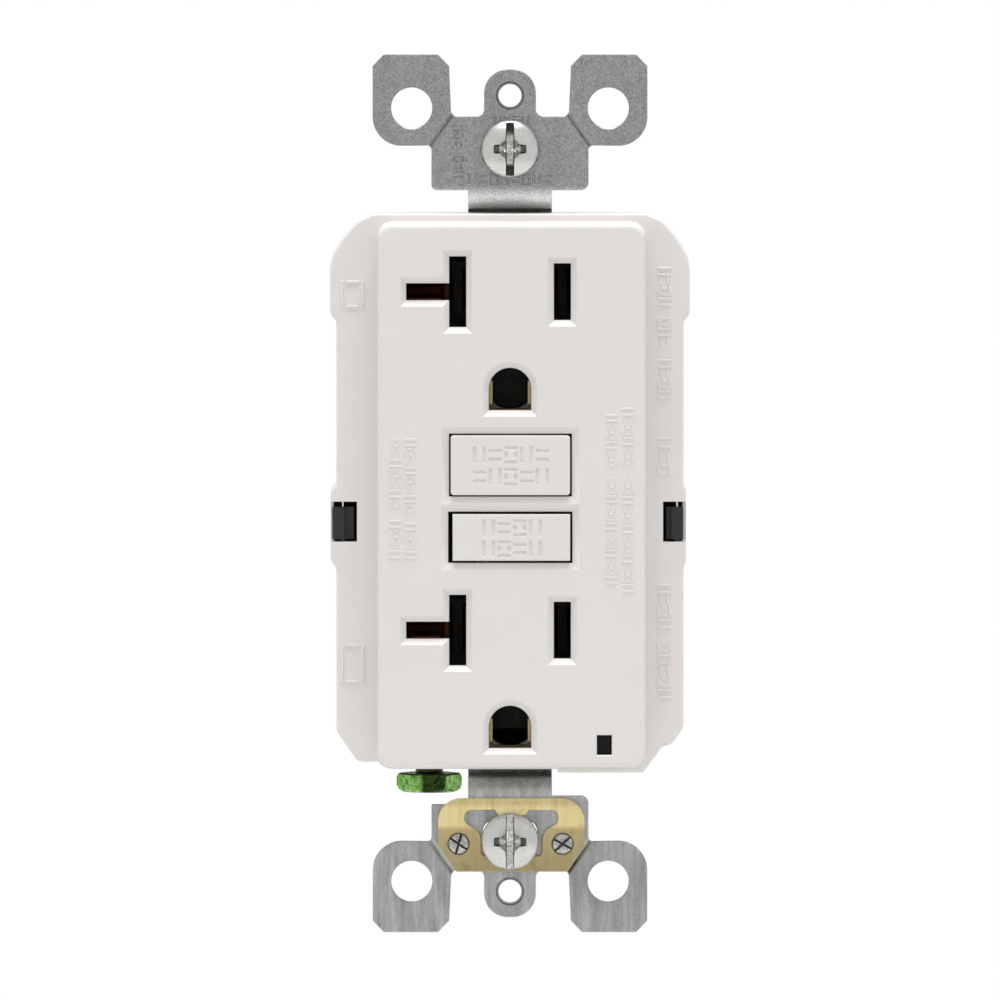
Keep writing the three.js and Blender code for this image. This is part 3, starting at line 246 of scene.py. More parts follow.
# ---- meshes ----


class Shell:
    """Builds a surface from rings of points, each ring an outline in X and Z at one depth."""

    def __init__(self):
        self.mesh = bmesh.new()

    def vertex(self, x, y, z):
        return self.mesh.verts.new((x * MM, y * MM, z * MM))

    def ring(self, points, y):
        return [self.vertex(x, y, z) for x, z in points]

    def bridge(self, *rings):
        """Faces between each ring and the next."""
        for a, b in zip(rings, rings[1:]):
            for i in range(len(a)):
                j = (i + 1) % len(a)
                self.mesh.faces.new((a[i], a[j], b[j], b[i]))

    def closed(self, *rings):
        """The same, and a flat face at both ends."""
        self.bridge(*rings)
        self.mesh.faces.new(rings[0])
        self.mesh.faces.new(rings[-1])

    def wall(self, points, path):
        """A wall that follows an outline down an (offset, depth) path. Returns its first and last rings."""
        rings = [self.ring(offset(points, d), y) for d, y in path]
        self.bridge(*rings)
        return rings[0], rings[-1]

    def fill(self, outer, *holes):
        """A flat face between an outer ring and the rings of its holes."""
        flat, owner, edges = [], [], []
        for k, loop in enumerate((outer, *holes)):
            first, count = len(flat), len(loop)
            flat += loop
            owner += [k] * count
            edges += [(first + i, first + (i + 1) % count) for i in range(count)]
        spots = [Vector((v.co.x, v.co.z)) / MM for v in flat]
        rings = [[s for s, k in zip(spots, owner) if k == ring] for ring in range(len(holes) + 1)]
        _, _, faces, origins, _, _ = delaunay_2d_cdt(spots, edges, [], 1, 1e-6)
        for face in faces:
            corners = [origins[i][0] for i in face]
            hole = owner[corners[0]]
            middle = sum((spots[i] for i in corners), Vector((0, 0))) / 3
            if hole and all(owner[i] == hole for i in corners) and within(middle, rings[hole]):
                continue
            self.mesh.faces.new([flat[i] for i in corners])

    def slab(self, points, y0, y1, edge, holes=(), pockets=()):
        """A plate between two depths with rounded edges. Holes are (outline, width of the chamfer), where a
        wide one becomes a thread's groove, and pockets are the mouths of marks in the front."""
        side = [(-2 * edge, y0), (0, y0), (0, y1), (-2 * edge, y1)]
        front, back = self.wall(points, eased(side, [edge, edge]))
        fronts, backs = [front], [back]
        for hole, mouth in holes:
            bore = [(mouth, y0), (0, y0 + mouth), (0, y1 - edge), (edge, y1)]
            if mouth > THREADED:
                crest, root = y0 + 0.1, y0 + 0.5
                bore[1:2] = [(mouth * 0.8, root), (mouth * 0.45, root), (mouth * 0.3, crest), (0, crest)]
            top, bottom = self.wall(hole, bore)
            fronts.append(top)
            backs.append(bottom)
        self.fill(*fronts, *pockets)
        self.fill(*backs)

    def pocket(self, points, y, depth, slope):
        """A shallow sunk mark. Returns the ring at its mouth."""
        path = eased([(slope + 0.02, y), (slope, y), (0, y + depth), (-0.02, y + depth)], [0.02, 0.03], 2)
        top, floor = self.wall(points, path)
        self.fill(floor)
        return top

    def boss(self, points, y, height, slope):
        """A low raised mark that stands on a face at depth y."""
        path = eased([(slope, y + 0.05), (0, y - height), (-0.03, y - height)], [0.03], 2)
        base, top = self.wall(points, path)
        self.fill(top)
        self.fill(base)

    def turned(self, profile, x, z, count):
        """A solid of revolution about the Y line through (x, z), from (radius, depth) points."""
        first, last = self.vertex(x, profile[0][1], z), self.vertex(x, profile[-1][1], z)
        rings = [self.ring(circle(x, z, r, count), y) for r, y in profile[1:-1]]
        self.bridge(*rings)
        for tip, loop in ((first, rings[0]), (last, rings[-1])):
            for i in range(count):
                self.mesh.faces.new((tip, loop[i], loop[(i + 1) % count]))

    def sweep(self, section, path):
        """An (x, thickness) section carried along (y, z, angle) stations, and closed at both ends."""
        rings = []
        for y, z, angle in path:
            ny, nz = cos(angle), sin(angle)
            rings.append([self.vertex(x, y + ny * t, z + nz * t) for x, t in section])
        self.closed(*rings)

    def object(self, name, *materials):
        bmesh.ops.remove_doubles(self.mesh, verts=self.mesh.verts, dist=0.00002 * MM)
        bmesh.ops.recalc_face_normals(self.mesh, faces=self.mesh.faces)
        data = bpy.data.meshes.new(name)
        self.mesh.to_mesh(data)
        self.mesh.free()
        for material in materials:
            data.materials.append(material)
        return linked(name, data)


def linked(name, data):
    made = bpy.data.objects.new(name, data)
    bpy.context.scene.collection.objects.link(made)
    return made


def baked(obj):
    """Applies an object's modifiers to its mesh."""
    evaluated = obj.evaluated_get(bpy.context.evaluated_depsgraph_get())
    data = bpy.data.meshes.new_from_object(evaluated)
    obj.modifiers.clear()
    obj.data = data
    return obj


def carved(obj, *cutters, lining=0):
    """obj with the cutters' shapes taken away. The cut faces take the lining's material."""
    for cutter in cutters:
        for material in obj.data.materials:
            cutter.data.materials.append(material)
        for polygon in cutter.data.polygons:
            polygon.material_index = lining
        step = obj.modifiers.new("carve", "BOOLEAN")
        step.operation = "DIFFERENCE"
        step.solver = "EXACT"
        step.object = cutter
        bpy.context.view_layer.update()
        baked(obj)
        bpy.data.objects.remove(cutter)
    return obj


def joined(obj, other):
    """obj with another object's mesh added to its own."""
    mesh = bmesh.new()
    mesh.from_mesh(obj.data)
    mesh.from_mesh(other.data)
    mesh.to_mesh(obj.data)
    mesh.free()
    bpy.data.objects.remove(other)
    return obj


def edged(obj, width, segments=2, angle=35.0):
    """Rounds an object's sharp edges."""
    step = obj.modifiers.new("edges", "BEVEL")
    step.width = width * MM
    step.segments = segments
    step.limit_method = "ANGLE"
    step.angle_limit = radians(angle)
    return obj


def finer(node, width, segments=2):
    """A copy of a CAD node with its flat faces merged and its edges rounded."""
    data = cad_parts[node].data.copy()
    data.materials.clear()
    mesh = bmesh.new()
    mesh.from_mesh(data)
    bmesh.ops.remove_doubles(mesh, verts=mesh.verts, dist=1e-6)
    bmesh.ops.dissolve_limit(mesh, angle_limit=radians(1.0), verts=mesh.verts, edges=mesh.edges)
    mesh.to_mesh(data)
    mesh.free()
    return edged(linked(node + "_finished", data), width, segments)


def block(x0, x1, y0, y1, z0, z1):
    """A plain block, used to cut with."""
    cutter = Shell()
    cutter.slab(rect(x0, x1, z0, z1), y0, y1, 0.001)
    return cutter.object("cutter")


def side_walls(shell, walls, edge):
    """The inner walls that stand on both sides of the middle."""
    for sign in (-1, 1):
        for x_range, z_range, front, back in walls:
            shell.slab(rect(*sided(sign, *x_range), *z_range), front, back, edge)


def place(obj, body, material, slot, node, sharp=38.0):
    """Gives a finished piece its smooth shading, material and body, and hides the CAD node it stands for.
    The slot is not used.
    """
    for polygon in obj.data.polygons:
        polygon.use_smooth = True
    obj.data.set_sharp_from_angle(angle=radians(sharp))
    obj.modifiers.new("normals", "WEIGHTED_NORMAL").keep_sharp = True
    if not obj.data.materials:
        obj.data.materials.append(material)
    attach(obj, body)
    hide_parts(node)
    return obj


# ---- materials ----

WAVE_RADIANS = 20  # how far a wave texture at a scale of 1 turns in one unit of length


class Nodes:
    """Short calls for building one material's node tree."""

    def __init__(self, name):
        self.material = bpy.data.materials.new(name)
        self.material.use_nodes = True
        self.tree = self.material.node_tree
        self.shader = self.tree.nodes["Principled BSDF"]
        self.place = self.tree.nodes.new("ShaderNodeTexCoord").outputs["Object"]

    def new(self, kind, **values):
        """A node of this kind, with values for its inputs."""
        node = self.tree.nodes.new(kind)
        for socket, value in values.items():
            node.inputs[socket].default_value = value
        return node

    def link(self, a, b):
        self.tree.links.new(a, b)

    def stretched(self, scale):
        node = self.new("ShaderNodeMapping", Scale=scale)
        self.link(self.place, node.inputs["Vector"])
        return node.outputs["Vector"]

    def noise(self, per_mm, detail=3.0, rough=0.55, vector=None, distort=0.0):
        node = self.new(
            "ShaderNodeTexNoise", Scale=per_mm / MM, Detail=detail, Roughness=rough, Distortion=distort)
        self.link(self.place if vector is None else vector, node.inputs["Vector"])
        return node.outputs["Fac"]

    def cells(self, per_mm, vector):
        node = self.new("ShaderNodeTexVoronoi", Scale=per_mm / MM)
        self.link(vector, node.inputs["Vector"])
        return node.outputs["Color"]

    def waves(self, per_mm, axis):
        """Bands across one axis, at this many radians in each millimetre."""
        node = self.new("ShaderNodeTexWave", Scale=per_mm / MM / WAVE_RADIANS, Distortion=0.6)
        node.bands_direction = axis
        self.link(self.place, node.inputs["Vector"])
        return node.outputs["Fac"]

    def ramp(self, value, stops):
        node = self.new("ShaderNodeValToRGB")
        for k, (position, color) in enumerate(stops):
            stop = node.color_ramp.elements[k] if k < 2 else node.color_ramp.elements.new(position)
            stop.position = position
            stop.color = (*color, 1.0)
        self.link(value, node.inputs["Fac"])
        return node.outputs["Color"]

    def span(self, value, low, high, start=0.3, end=0.7):
        node = self.new("ShaderNodeMapRange")
        for socket, number in (("From Min", start), ("From Max", end), ("To Min", low), ("To Max", high)):
            node.inputs[socket].default_value = number
        self.link(value, node.inputs["Value"])
        return node.outputs["Result"]

    def along(self, axis, mirrored=False):
        """The place along one axis of the object, or how far it is from the middle."""
        split = self.new("ShaderNodeSeparateXYZ")
        self.link(self.place, split.inputs[0])
        if not mirrored:
            return split.outputs[axis]
        size = self.new("ShaderNodeMath")
        size.operation = "ABSOLUTE"
        self.link(split.outputs[axis], size.inputs[0])
        return size.outputs[0]

    def level(self, axis, start, end):
        """Grows from 0 to 1 between two places along one axis of the object."""
        return self.span(self.along(axis), 0.0, 1.0, start * MM, end * MM)

    def toned(self, color, place, tones):
        """Painted light and shade: the colour made darker or lighter by place, where tones are (place,
        factor) pairs in rising order.
        """
        low, high = tones[0][0], tones[-1][0]
        stops = [((at - low) / (high - low), (f, f, f)) for at, f in (tones[0], tones[-1], *tones[1:-1])]
        factor = self.ramp(self.span(place, 0.0, 1.0, low * MM, high * MM), stops)
        return self.mixed(1.0, color, factor, "MULTIPLY")

    def mixed(self, factor, a, b, mode="MIX"):
        node = self.new("ShaderNodeMix")
        node.data_type = "RGBA"
        node.blend_type = mode
        for socket, value in ((node.inputs[0], factor), (node.inputs[6], a), (node.inputs[7], b)):
            if isinstance(value, (int, float)):
                socket.default_value = value
            elif isinstance(value, tuple):
                socket.default_value = (*value, 1.0)
            else:
                self.link(value, socket)
        return node.outputs[2]

    def bump(self, height, distance_mm, under=None):
        node = self.new("ShaderNodeBump", Distance=distance_mm * MM)
        self.link(height, node.inputs["Height"])
        if under is not None:
            self.link(under, node.inputs["Normal"])
        return node.outputs["Normal"]

    def done(self, color, rough, normal, metallic=0.0):
        for socket, value in (("Base Color", color), ("Roughness", rough), ("Normal", normal)):
            self.link(value, self.shader.inputs[socket])
        self.shader.inputs["Metallic"].default_value = metallic
        return self.material


def shade(color, factor):
    return tuple(min(1.0, c * factor) for c in color)


def plastic(name, color, rough, spread, texture, flecks=0.0):
    """Moulded plastic: faint flow marks, a fine satin skin and a few specks."""
    n = Nodes(name)
    flow = n.noise(0.12, 2.0, 0.6, distort=0.6)
    tint = n.ramp(flow, [(0.3, shade(color, 1 - spread)), (0.7, shade(color, 1 + spread))])
    if flecks:
        speck = n.span(n.noise(3.2, 1.0), 0.0, flecks, 0.74, 0.8)
        tint = n.mixed(speck, tint, shade(color, 0.55))
    grain = n.noise(5.5, 2.0, 0.5)
    roughness = n.span(n.noise(0.7, 3.0), rough - 0.05, rough + 0.06)
    return n.done(tint, roughness, n.bump(flow, texture * 6, n.bump(grain, texture)))


def sheet_metal(name, dark, light, rough, grain_mm, brushed, spangle, stain=None, tones=()):
    """Rolled or plated sheet: speckle, clouds, drawn lines and stains, and painted light and shade by height
    from the tones.
    Spangle is the speckle's share, or its shares at the bottom and the top."""
    n = Nodes(name)
    speckle = n.noise(4.4, 3.0, 0.7)
    cloud = n.noise(0.16, 3.0, 0.6, distort=0.4)
    lines = n.noise(1.1, 4.0, 0.7, n.stretched(brushed))
    if isinstance(spangle, tuple):
        spangle = n.span(n.along("Z"), *spangle, -20 * MM, 20 * MM)
    tone = n.mixed(spangle, lines, speckle)
    base = n.ramp(tone, [(0.34, dark), (0.66, light)])
    base = n.mixed(n.span(cloud, 0.0, 0.3), base, shade(dark, 1.1))
    if stain:
        base = n.mixed(n.span(n.noise(0.5, 5.0, 0.75), 0.0, 0.75, 0.56, 0.75), base, stain)
    if tones:
        base = n.toned(base, n.along("Z"), tones)
    roughness = n.span(tone, rough - 0.08, rough + 0.12)
    return n.done(base, roughness, n.bump(tone, grain_mm), 1.0)


def recess_metal(name):
    """Plating inside a screw's slot and cross, with painted shade: bright floors, dark edges and dark arms.
    """
    n = Nodes(name)
    facets = n.noise(2.0, 4.0, 0.75)
    base = n.ramp(facets, [(0.36, (0.42, 0.43, 0.41)), (0.62, (0.95, 0.95, 0.92))])
    # painted shade: dark ends to the upper screw's slot
    base = n.toned(base, n.along("Z"), RECESS_SHADE_BY_HEIGHT)
    base = n.toned(base, n.along("X", True), RECESS_SHADE_ACROSS)
    return n.done(base, n.span(facets, 0.2, 0.34), n.bump(facets, 0.05), 1.0)


def dyed_zinc(name):
    """Green dyed plating with dark pools and pale worn flakes, and painted shade across the middle and at
    the top.
    """
    n = Nodes(name)
    cloud = n.noise(0.8, 5.0, 0.7, distort=1.4)
    dark, middle, light = (0.02, 0.10, 0.01), (0.17, 0.44, 0.07), (0.50, 0.76, 0.24)
    base = n.ramp(cloud, [(0.30, dark), (0.72, light), (0.50, middle)])
    flakes = n.span(n.noise(1.7, 4.0, 0.8, n.stretched((1.0, 1.0, 0.6))), 0.0, 0.9, 0.54, 0.66)
    base = n.mixed(flakes, base, (0.66, 0.84, 0.44))
    # painted shade: darker in a band across the middle and a little towards the sides
    base = n.toned(base, n.along("X"), GREEN_PAINTED_SHADE)
    # painted shade: darker towards the top, over the head's top edge and the shank, brownish at the very top
    base = n.mixed(n.level("Z", -34.75, -34.6), base, (0.035, 0.055, 0.015))
    base = n.mixed(n.level("Z", -34.3, -33.9), base, (0.10, 0.07, 0.03))
    return n.done(base, n.span(cloud, 0.38, 0.22), n.bump(cloud, 0.06), 1.0)


def windings(name, color, per_mm, axis):
    """Enamelled wire wound in even turns across one axis, with painted shade between the turns."""
    n = Nodes(name)
    turns = n.waves(per_mm, axis)
    tint = n.ramp(turns, [(0.1, shade(color, 0.35)), (0.6, color)])
    return n.done(tint, n.span(n.noise(2.0), 0.25, 0.4), n.bump(turns, 0.06), 1.0)


def laminate(name, color):
    """A glass laminate board whose tracks just show through its coat."""
    n = Nodes(name)
    tracks = n.cells(0.35, n.stretched((1.0, 1.0, 0.4)))
    base = n.mixed(n.span(tracks, 0.0, 0.5, 0.45, 0.55), color, shade(color, 1.8))
    roughness = n.span(n.noise(1.5, 3.0), 0.3, 0.45)
    return n.done(base, roughness, n.bump(n.noise(4.0, 2.0), 0.01))


def bronze_with_painted_shade(name):
    """Contact bronze, with painted shade: bright at the cross slots' mouths and black further in."""
    n = Nodes(name)
    tone = n.noise(1.4, 4.0, 0.7)
    bright = n.ramp(tone, [(0.35, (0.11, 0.035, 0.016)), (0.65, (0.22, 0.07, 0.032))])
    bright = n.toned(bright, n.along("X"), BRONZE_PAINTED_SHADE)
    # painted shade: further in than the slot's mouth the bronze turns near black
    base = n.mixed(n.level("X", -7.4, -7.2), bright, (0.06, 0.055, 0.05))
    return n.done(base, n.span(tone, 0.35, 0.5), n.bump(tone, 0.005), 1.0)


# painted light and shade on each stretch of a piece, as (place, factor): by height for the strap, the
# recesses and the clip, and by place across for the recesses' sides, the bronze and the green screw
# the strap painted lighter on its necks, most on the upper one, and darker in its middle behind the cover
STRAP_PAINTED_LIGHT = (
    (-54, 0.92), (-37.4, 0.88), (-36.8, 1.15), (-33, 1.15), (0, 0.8), (33, 1.45), (36.6, 1.45), (37.4, 0.82),
    (54, 0.82),
)
# painted shade in the screws' recesses: by height, dark ends to the upper screw's slot; across, dark slot
# edges and cross arms
RECESS_SHADE_BY_HEIGHT = ((-46, 1.0), (-39, 1.0), (39.9, 0.08), (40.2, 0.9), (43.7, 0.9), (43.9, 0.08), (46, 0.08))
RECESS_SHADE_ACROSS = (
    (0, 1.0), (0.36, 1.0), (0.43, 0.2), (0.52, 0.2), (0.58, 0.9), (1.2, 0.8), (1.35, 0.2), (2.2, 0.2),
)
# the clip painted lighter across its upper part and darker low down and along its top bend
CLIP_PAINTED_LIGHT = (
    (-46.2, 0.5), (-43.5, 0.56), (-40.9, 0.66), (-40.3, 1.08), (-38.3, 1.08), (-37.6, 0.8), (-37, 0.85),
)
# the bronze dimmed by painted shade past the cross slot's mouth
BRONZE_PAINTED_SHADE = ((-12.6, 1.0), (-8.5, 1.0), (-8.1, 0.3), (-7.3, 0.3))
GREEN_PAINTED_SHADE = ((-14, 0.9), (-10.9, 1.0), (-10.5, 0.14), (-8.1, 0.2), (-7.6, 1.0), (-6, 0.7))
WHITE, WIRE_RED = (0.765, 0.742, 0.722), (0.55, 0.2, 0.07)
EVEN = (1, 1, 1)

COVER = plastic("cover_plastic", WHITE, 0.4, 0.008, 0.003, 0.2)
BUTTON = plastic("button_plastic", WHITE, 0.36, 0.008, 0.003, 0.15)
HOUSING = plastic("housing_thermoset", (0.016, 0.017, 0.019), 0.5, 0.15, 0.008, 0.5)
CARRIER = plastic("carrier_nylon", (0.06, 0.058, 0.055), 0.5, 0.04, 0.006, 0.2)
COMPONENT = plastic("component_epoxy", (0.02, 0.02, 0.022), 0.4, 0.2, 0.006)
VARISTOR = plastic("varistor_coating", (0.015, 0.05, 0.3), 0.35, 0.2, 0.01)
FIBRE = plastic("vulcanised_fibre", (0.24, 0.1, 0.05), 0.75, 0.25, 0.02, 0.6)
LENS = plastic("smoked_lens", (0.005, 0.005, 0.006), 0.2, 0.1, 0.002)
# a lower index than other plastics, so that the window hardly shines
LENS.node_tree.nodes["Principled BSDF"].inputs["IOR"].default_value = 1.3
STRAP = sheet_metal(
    "galvanised_steel", (0.32, 0.33, 0.33), (0.66, 0.675, 0.67), 0.42, 0.006, (1, 1, 0.1), (0.3, 0.85),
    tones=STRAP_PAINTED_LIGHT)
PLATED = sheet_metal("bright_zinc", (0.54, 0.54, 0.52), (0.73, 0.73, 0.71), 0.25, 0.003, EVEN, 0.4)
SHADED_RECESS = recess_metal("recess_zinc_painted_shade")
RIVETED = sheet_metal("rivet_zinc", (0.22, 0.22, 0.22), (0.80, 0.80, 0.78), 0.32, 0.02, EVEN, 0.6)
# near black for the faces of the rivets' grooves: painted shade
GROOVE_SHADE = sheet_metal("rivet_groove_painted_shade", (0.02, 0.02, 0.02), (0.10, 0.10, 0.10), 0.5, 0.01, EVEN, 0.5)
STEEL = sheet_metal("spring_steel", (0.4, 0.4, 0.41), (0.62, 0.62, 0.63), 0.28, 0.003, (1, 0.2, 1), 0.4)
BRASS = sheet_metal("contact_brass", (0.42, 0.32, 0.14), (0.7, 0.56, 0.3), 0.34, 0.004, (0.12, 1, 1), 0.35)
CLIP = sheet_metal(
    "clip_brass", (0.92, 0.70, 0.30), (1.0, 0.91, 0.56), 0.32, 0.004, (1, 1, 0.08), 0.3,
    stain=(0.6, 0.4, 0.15), tones=CLIP_PAINTED_LIGHT)
BRONZE = bronze_with_painted_shade("contact_bronze")
GREEN = dyed_zinc("green_dyed_zinc")
BOARD = laminate("circuit_laminate", (0.012, 0.04, 0.02))
COPPER = windings("copper_winding", WIRE_RED, 3.0, "Z")
TOROID = windings("toroid_winding", WIRE_RED, 2.0, "X")


# ---- generic marks ----


def glyph_row(count, length, height, stroke, gap_at=None):
    """Strokes in place of lettering: pairs of uprights, pairs of bars and open blocks in turn, which spell
    nothing, as (u0, v0, u1, v1, width) along the line. One place can stay empty."""
    pitch = length / count
    low, high, wide = -height / 2, height / 2, pitch * 0.62
    gap = stroke * 2.3
    strokes = []
    for k in range(count):
        if k == gap_at:
            continue
        u = k * pitch - length / 2 + pitch * 0.19
        if k % 3 == 0:
            strokes += [(u, low, u, high), (u + wide, low, u + wide, high)]
        elif k % 3 == 1:
            strokes += [(u, v, u + wide, v) for v in (low * 0.6, high * 0.6)]
        else:
            strokes += [(u, low + gap, u, high - gap), (u + wide, low + gap, u + wide, high - gap)]
            strokes += [(u, v, u + wide, v) for v in (low, high)]
    return [s + (stroke,) for s in strokes]


LEVEL, RISING, UPSIDE_DOWN, FALLING = (1, 0), (0, 1), (-1, 0), (0, -1)  # the way in which a row runs


def marks(x, z, strokes, way=LEVEL):
    """The outlines of a row of strokes, put at (x, z) and turned to run its way."""
    c, s = way
    return [
        bar(x + c * u0 - s * v0, z + s * u0 + c * v0, x + c * u1 - s * v1, z + s * u1 + c * v1, width)
        for u0, v0, u1, v1, width in strokes
    ]


# ---- front cover ----


def rim_outline():
    """A wide lobe at each upper side, latch lobes at the middle, and a lower edge cut short on the left for
    the ground screw and slanted on the right."""

    def side(lobe_x):
        return [
            (16.6, RIM_TOP_Z, 1.5), (18.6, 33.2, 3), (20.2, 31.3, 4), (21.5, 29.2, 3), (21.85, 27.6, 2),
            (21.85, 21.9, 1.2), (RIM_HALF_X, 21.0, 0.3), (RIM_HALF_X, 1.2, 0.3), (lobe_x, 0.55, 1.2),
            (lobe_x, -8.1, 1.2), (RIM_HALF_X, -9.0, 0.4),
        ]

    right = side(LOBE_X["right"]) + [
        (RIM_HALF_X, -28.5, 2.2), (19.6, -30.5, 1.6), (18.5, -30.75, 0.8), (16.2, -33.9, 0),
        (5.85, -33.9, 0), (5.6, -32.6, 0),
    ]
    left = side(LOBE_X["left"]) + [(RIM_HALF_X, -28.8, 1.2), (18.5, -32.6, 1.2)]
    return outline(right + [(-x, z, r) for x, z, r in reversed(left)], 8)


def slot_outlines(blade_z, ground_z):
    """The neutral T slot, the hot slot and the ground hole of one outlet."""
    left, right = -BLADE_X - SLOT_HALF_W, -BLADE_X + SLOT_HALF_W
    low, high = blade_z - NEUTRAL_HALF, blade_z + NEUTRAL_HALF
    arm0, arm1 = blade_z - SLOT_HALF_W, blade_z + SLOT_HALF_W
    neutral = ccw([
        (left, low), (right, low), (right, high), (left, high),
        (left, arm1), (CROSS_X, arm1), (CROSS_X, arm0), (left, arm0),
    ])
    hot = rect(BLADE_X - SLOT_HALF_W, BLADE_X + SLOT_HALF_W, blade_z - HOT_HALF, blade_z + HOT_HALF)
    r, flat = GROUND_R, ground_z - GROUND_R
    ground = outline([(-r, flat, 0), (r, flat, 0), (r, ground_z + r, r), (-r, ground_z + r, r)], 14)
    return neutral, hot, ground


def face_shell(cover):
    """The raised face with its openings, its soft edge and a small fillet at the rim."""
    holes = []

    def lead_in(points, wide, deep, lip):
        path = [(wide + lip, FACE_Y), (wide, FACE_Y), (0, FACE_Y + deep), (0, FACE_BACK)]
        holes.append(cover.wall(points, eased(path, [lip, 0.06], 3)))

    for _, blade_z, ground_z in OUTLETS:
        for points in slot_outlines(blade_z, ground_z):
            lead_in(points, *SLOT_BEVEL)
    for spec in BUTTONS.values():
        lead_in(rect(*spec["hole_x"], *spec["hole_z"]), *BUTTON_BEVEL)
    lead_in(rect(*LAMP_X, *LAMP_Z), *LAMP_BEVEL)

    face = rect(*FACE_X, -FACE_HALF_Z, FACE_HALF_Z, FACE_CORNER, 10)
    side = [
        (-1.35, FACE_Y), (-0.05, FACE_Y), (0, RIM_Y - 0.02), (0.4, RIM_Y + 0.02),
        (0.2, RIM_Y + 0.5), (-1.2, RIM_Y + 0.5), (-1.2, FACE_BACK),
    ]
    front, back = cover.wall(face, eased(side, [0.95, 0.3, 0.05, 0.05, 0.05], 8))
    cover.fill(front, *[top for top, _ in holes])
    cover.fill(back, *[bottom for _, bottom in holes])


def rim_object():
    """The rim and skirt, with the latch windows and the notches for the strap."""
    shell = Shell()
    inner = rect(-13.8, 13.8, -30.95, 30.4, 0.3)
    half = [
        (15.5, 32.2, 1), (19.5, 28.5, 1), (19.5, 0.2, 0), (18.1, -0.1, 0), (18.1, -6.6, 0),
        (19.5, -6.9, 0), (19.5, -27.5, 1), (16.5, -31.0, 1),
    ]
    hollow = outline(half + [(-x, z, r) for x, z, r in reversed(half)])
    edge = eased([(-1.2, RIM_Y), (0, RIM_Y), (0, SEAM_Y), (-0.15, SEAM_Y)], [0.32, 0.12], 6)
    front_wall = RIM_Y + 1.6
    rim_front, seam = shell.wall(rim_outline(), edge)
    throat = shell.wall(inner, [(0, RIM_Y), (0, front_wall)])
    cavity = shell.wall(hollow, [(0, front_wall), (0, SEAM_Y)])
    shell.fill(rim_front, throat[0])
    shell.fill(cavity[0], throat[1])
    shell.fill(seam, cavity[1])
    rim = shell.object("rim")
    cutters = []
    window_z, outside_x, notch = (WINDOW["z0"], WINDOW["z1"]), 23.0, NECK_HALF_X + 0.3
    for sign in (-1, 1):
        opening = sided(sign, WINDOW["x"], outside_x)
        cutters.append(block(*opening, RIM_Y - 1, WINDOW["ledge_y"], *window_z))
        behind = sided(sign, WINDOW["x"], WINDOW["ledge_x"])
        cutters.append(block(*behind, 0.0, SEAM_Y + 1, *window_z))
        cutters.append(block(-notch, notch, SEAM_Y - 1.6, SEAM_Y + 1, *sided(sign, 31.0, 37.0)))
    carved(rim, *cutters)
    return baked(edged(rim, 0.06, 1, 50.0))


def cover_marks(cover):
    """Raised strokes in place of lettering: two columns on each side of the face, one down the rim's right,
    and two plain frames on its left."""
    columns = [
        (-13.9, -0.35, 14.8, 12, 4, RISING), (-12.1, -0.35, 14.8, 13, 4, RISING),
        (14.3, -0.5, 22.6, 19, 6, FALLING), (12.3, -0.4, 20.8, 19, 6, FALLING),
    ]
    for x, z, length, count, gap, way in columns:
        for points in marks(x, z, glyph_row(count, length, 1.15, 0.2, gap), way):
            cover.boss(points, FACE_Y, 0.1, 0.06)
    for z, length, count in ((22.8, 9.8, 8), (14.0, 5.0, 4), (4.6, 5.0, 3), (-17.9, 14.2, 10)):
        for points in marks(18.75, z, glyph_row(count, length, 1.4, 0.22, 4), FALLING):
            cover.boss(points, RIM_Y, 0.14, 0.06)
    left, right, short = -20.4, -17.9, 0.6
    for z, half in ((24.3, 1.5), (-20.6, 2.2)):
        low, high = z - half, z + half
        for ends in (
            (left, low, left, high), (right, low, right, high),
            (left + short, high, right - short, high), (left + short, low, right - short, low),
        ):
            cover.boss(bar(*ends, 0.3), RIM_Y, 0.17, 0.08)


def front_cover():
    cover = Shell()
    face_shell(cover)
    # the ledge behind each latch window
    for sign, outer in ((-1, 21.5), (1, 21.05)):
        x0, x1 = sided(sign, WINDOW["ledge_x"], outer)
        ledge = rect(x0, x1, WINDOW["z0"] - 0.3, WINDOW["z1"] + 0.3)
        cover.slab(ledge, WINDOW["ledge_y"], SEAM_Y - 0.02, 0.05)
    side_walls(cover, COVER_WALLS, 0.1)
    cover_marks(cover)
    made = joined(cover.object("front_cover_shell"), rim_object())
    place(made, "device", COVER, "cover_white", "front_cover")


# ---- buttons ----


def button(name, spec):
    """A button cap with sunk marks in two rows, the lower one upside down."""
    cap = Shell()
    z = sum(spec["cap_z"]) / 2
    x, above, below = spec["rows"]
    row = glyph_row(*spec["row"], 0.3)
    rows = marks(x, z + above, row) + marks(x, z - below, row, UPSIDE_DOWN)
    mouths = [cap.pocket(points, BUTTON_FRONT, 0.16, 0.08) for points in rows]
    outside = rect(*spec["cap_x"], *spec["cap_z"], spec["corner"], 5)
    path = [(-0.34, BUTTON_FRONT), (0, BUTTON_FRONT), (0.02, BUTTON_BACK), (-0.34, BUTTON_BACK)]
    front, back = cap.wall(outside, eased(path, [0.16, 0.1], 4))
    cap.fill(front, *mouths)
    cap.fill(back)
    leg_x, leg_z, leg_y = spec["leg"]
    cap.slab(rect(-leg_x, leg_x, z - leg_z, z + leg_z), BUTTON_BACK - 0.2, leg_y, 0.1)
    place(cap.object(name + "_button_cap"), name, BUTTON, "cover_white", name + "_button")


# ---- strap ----


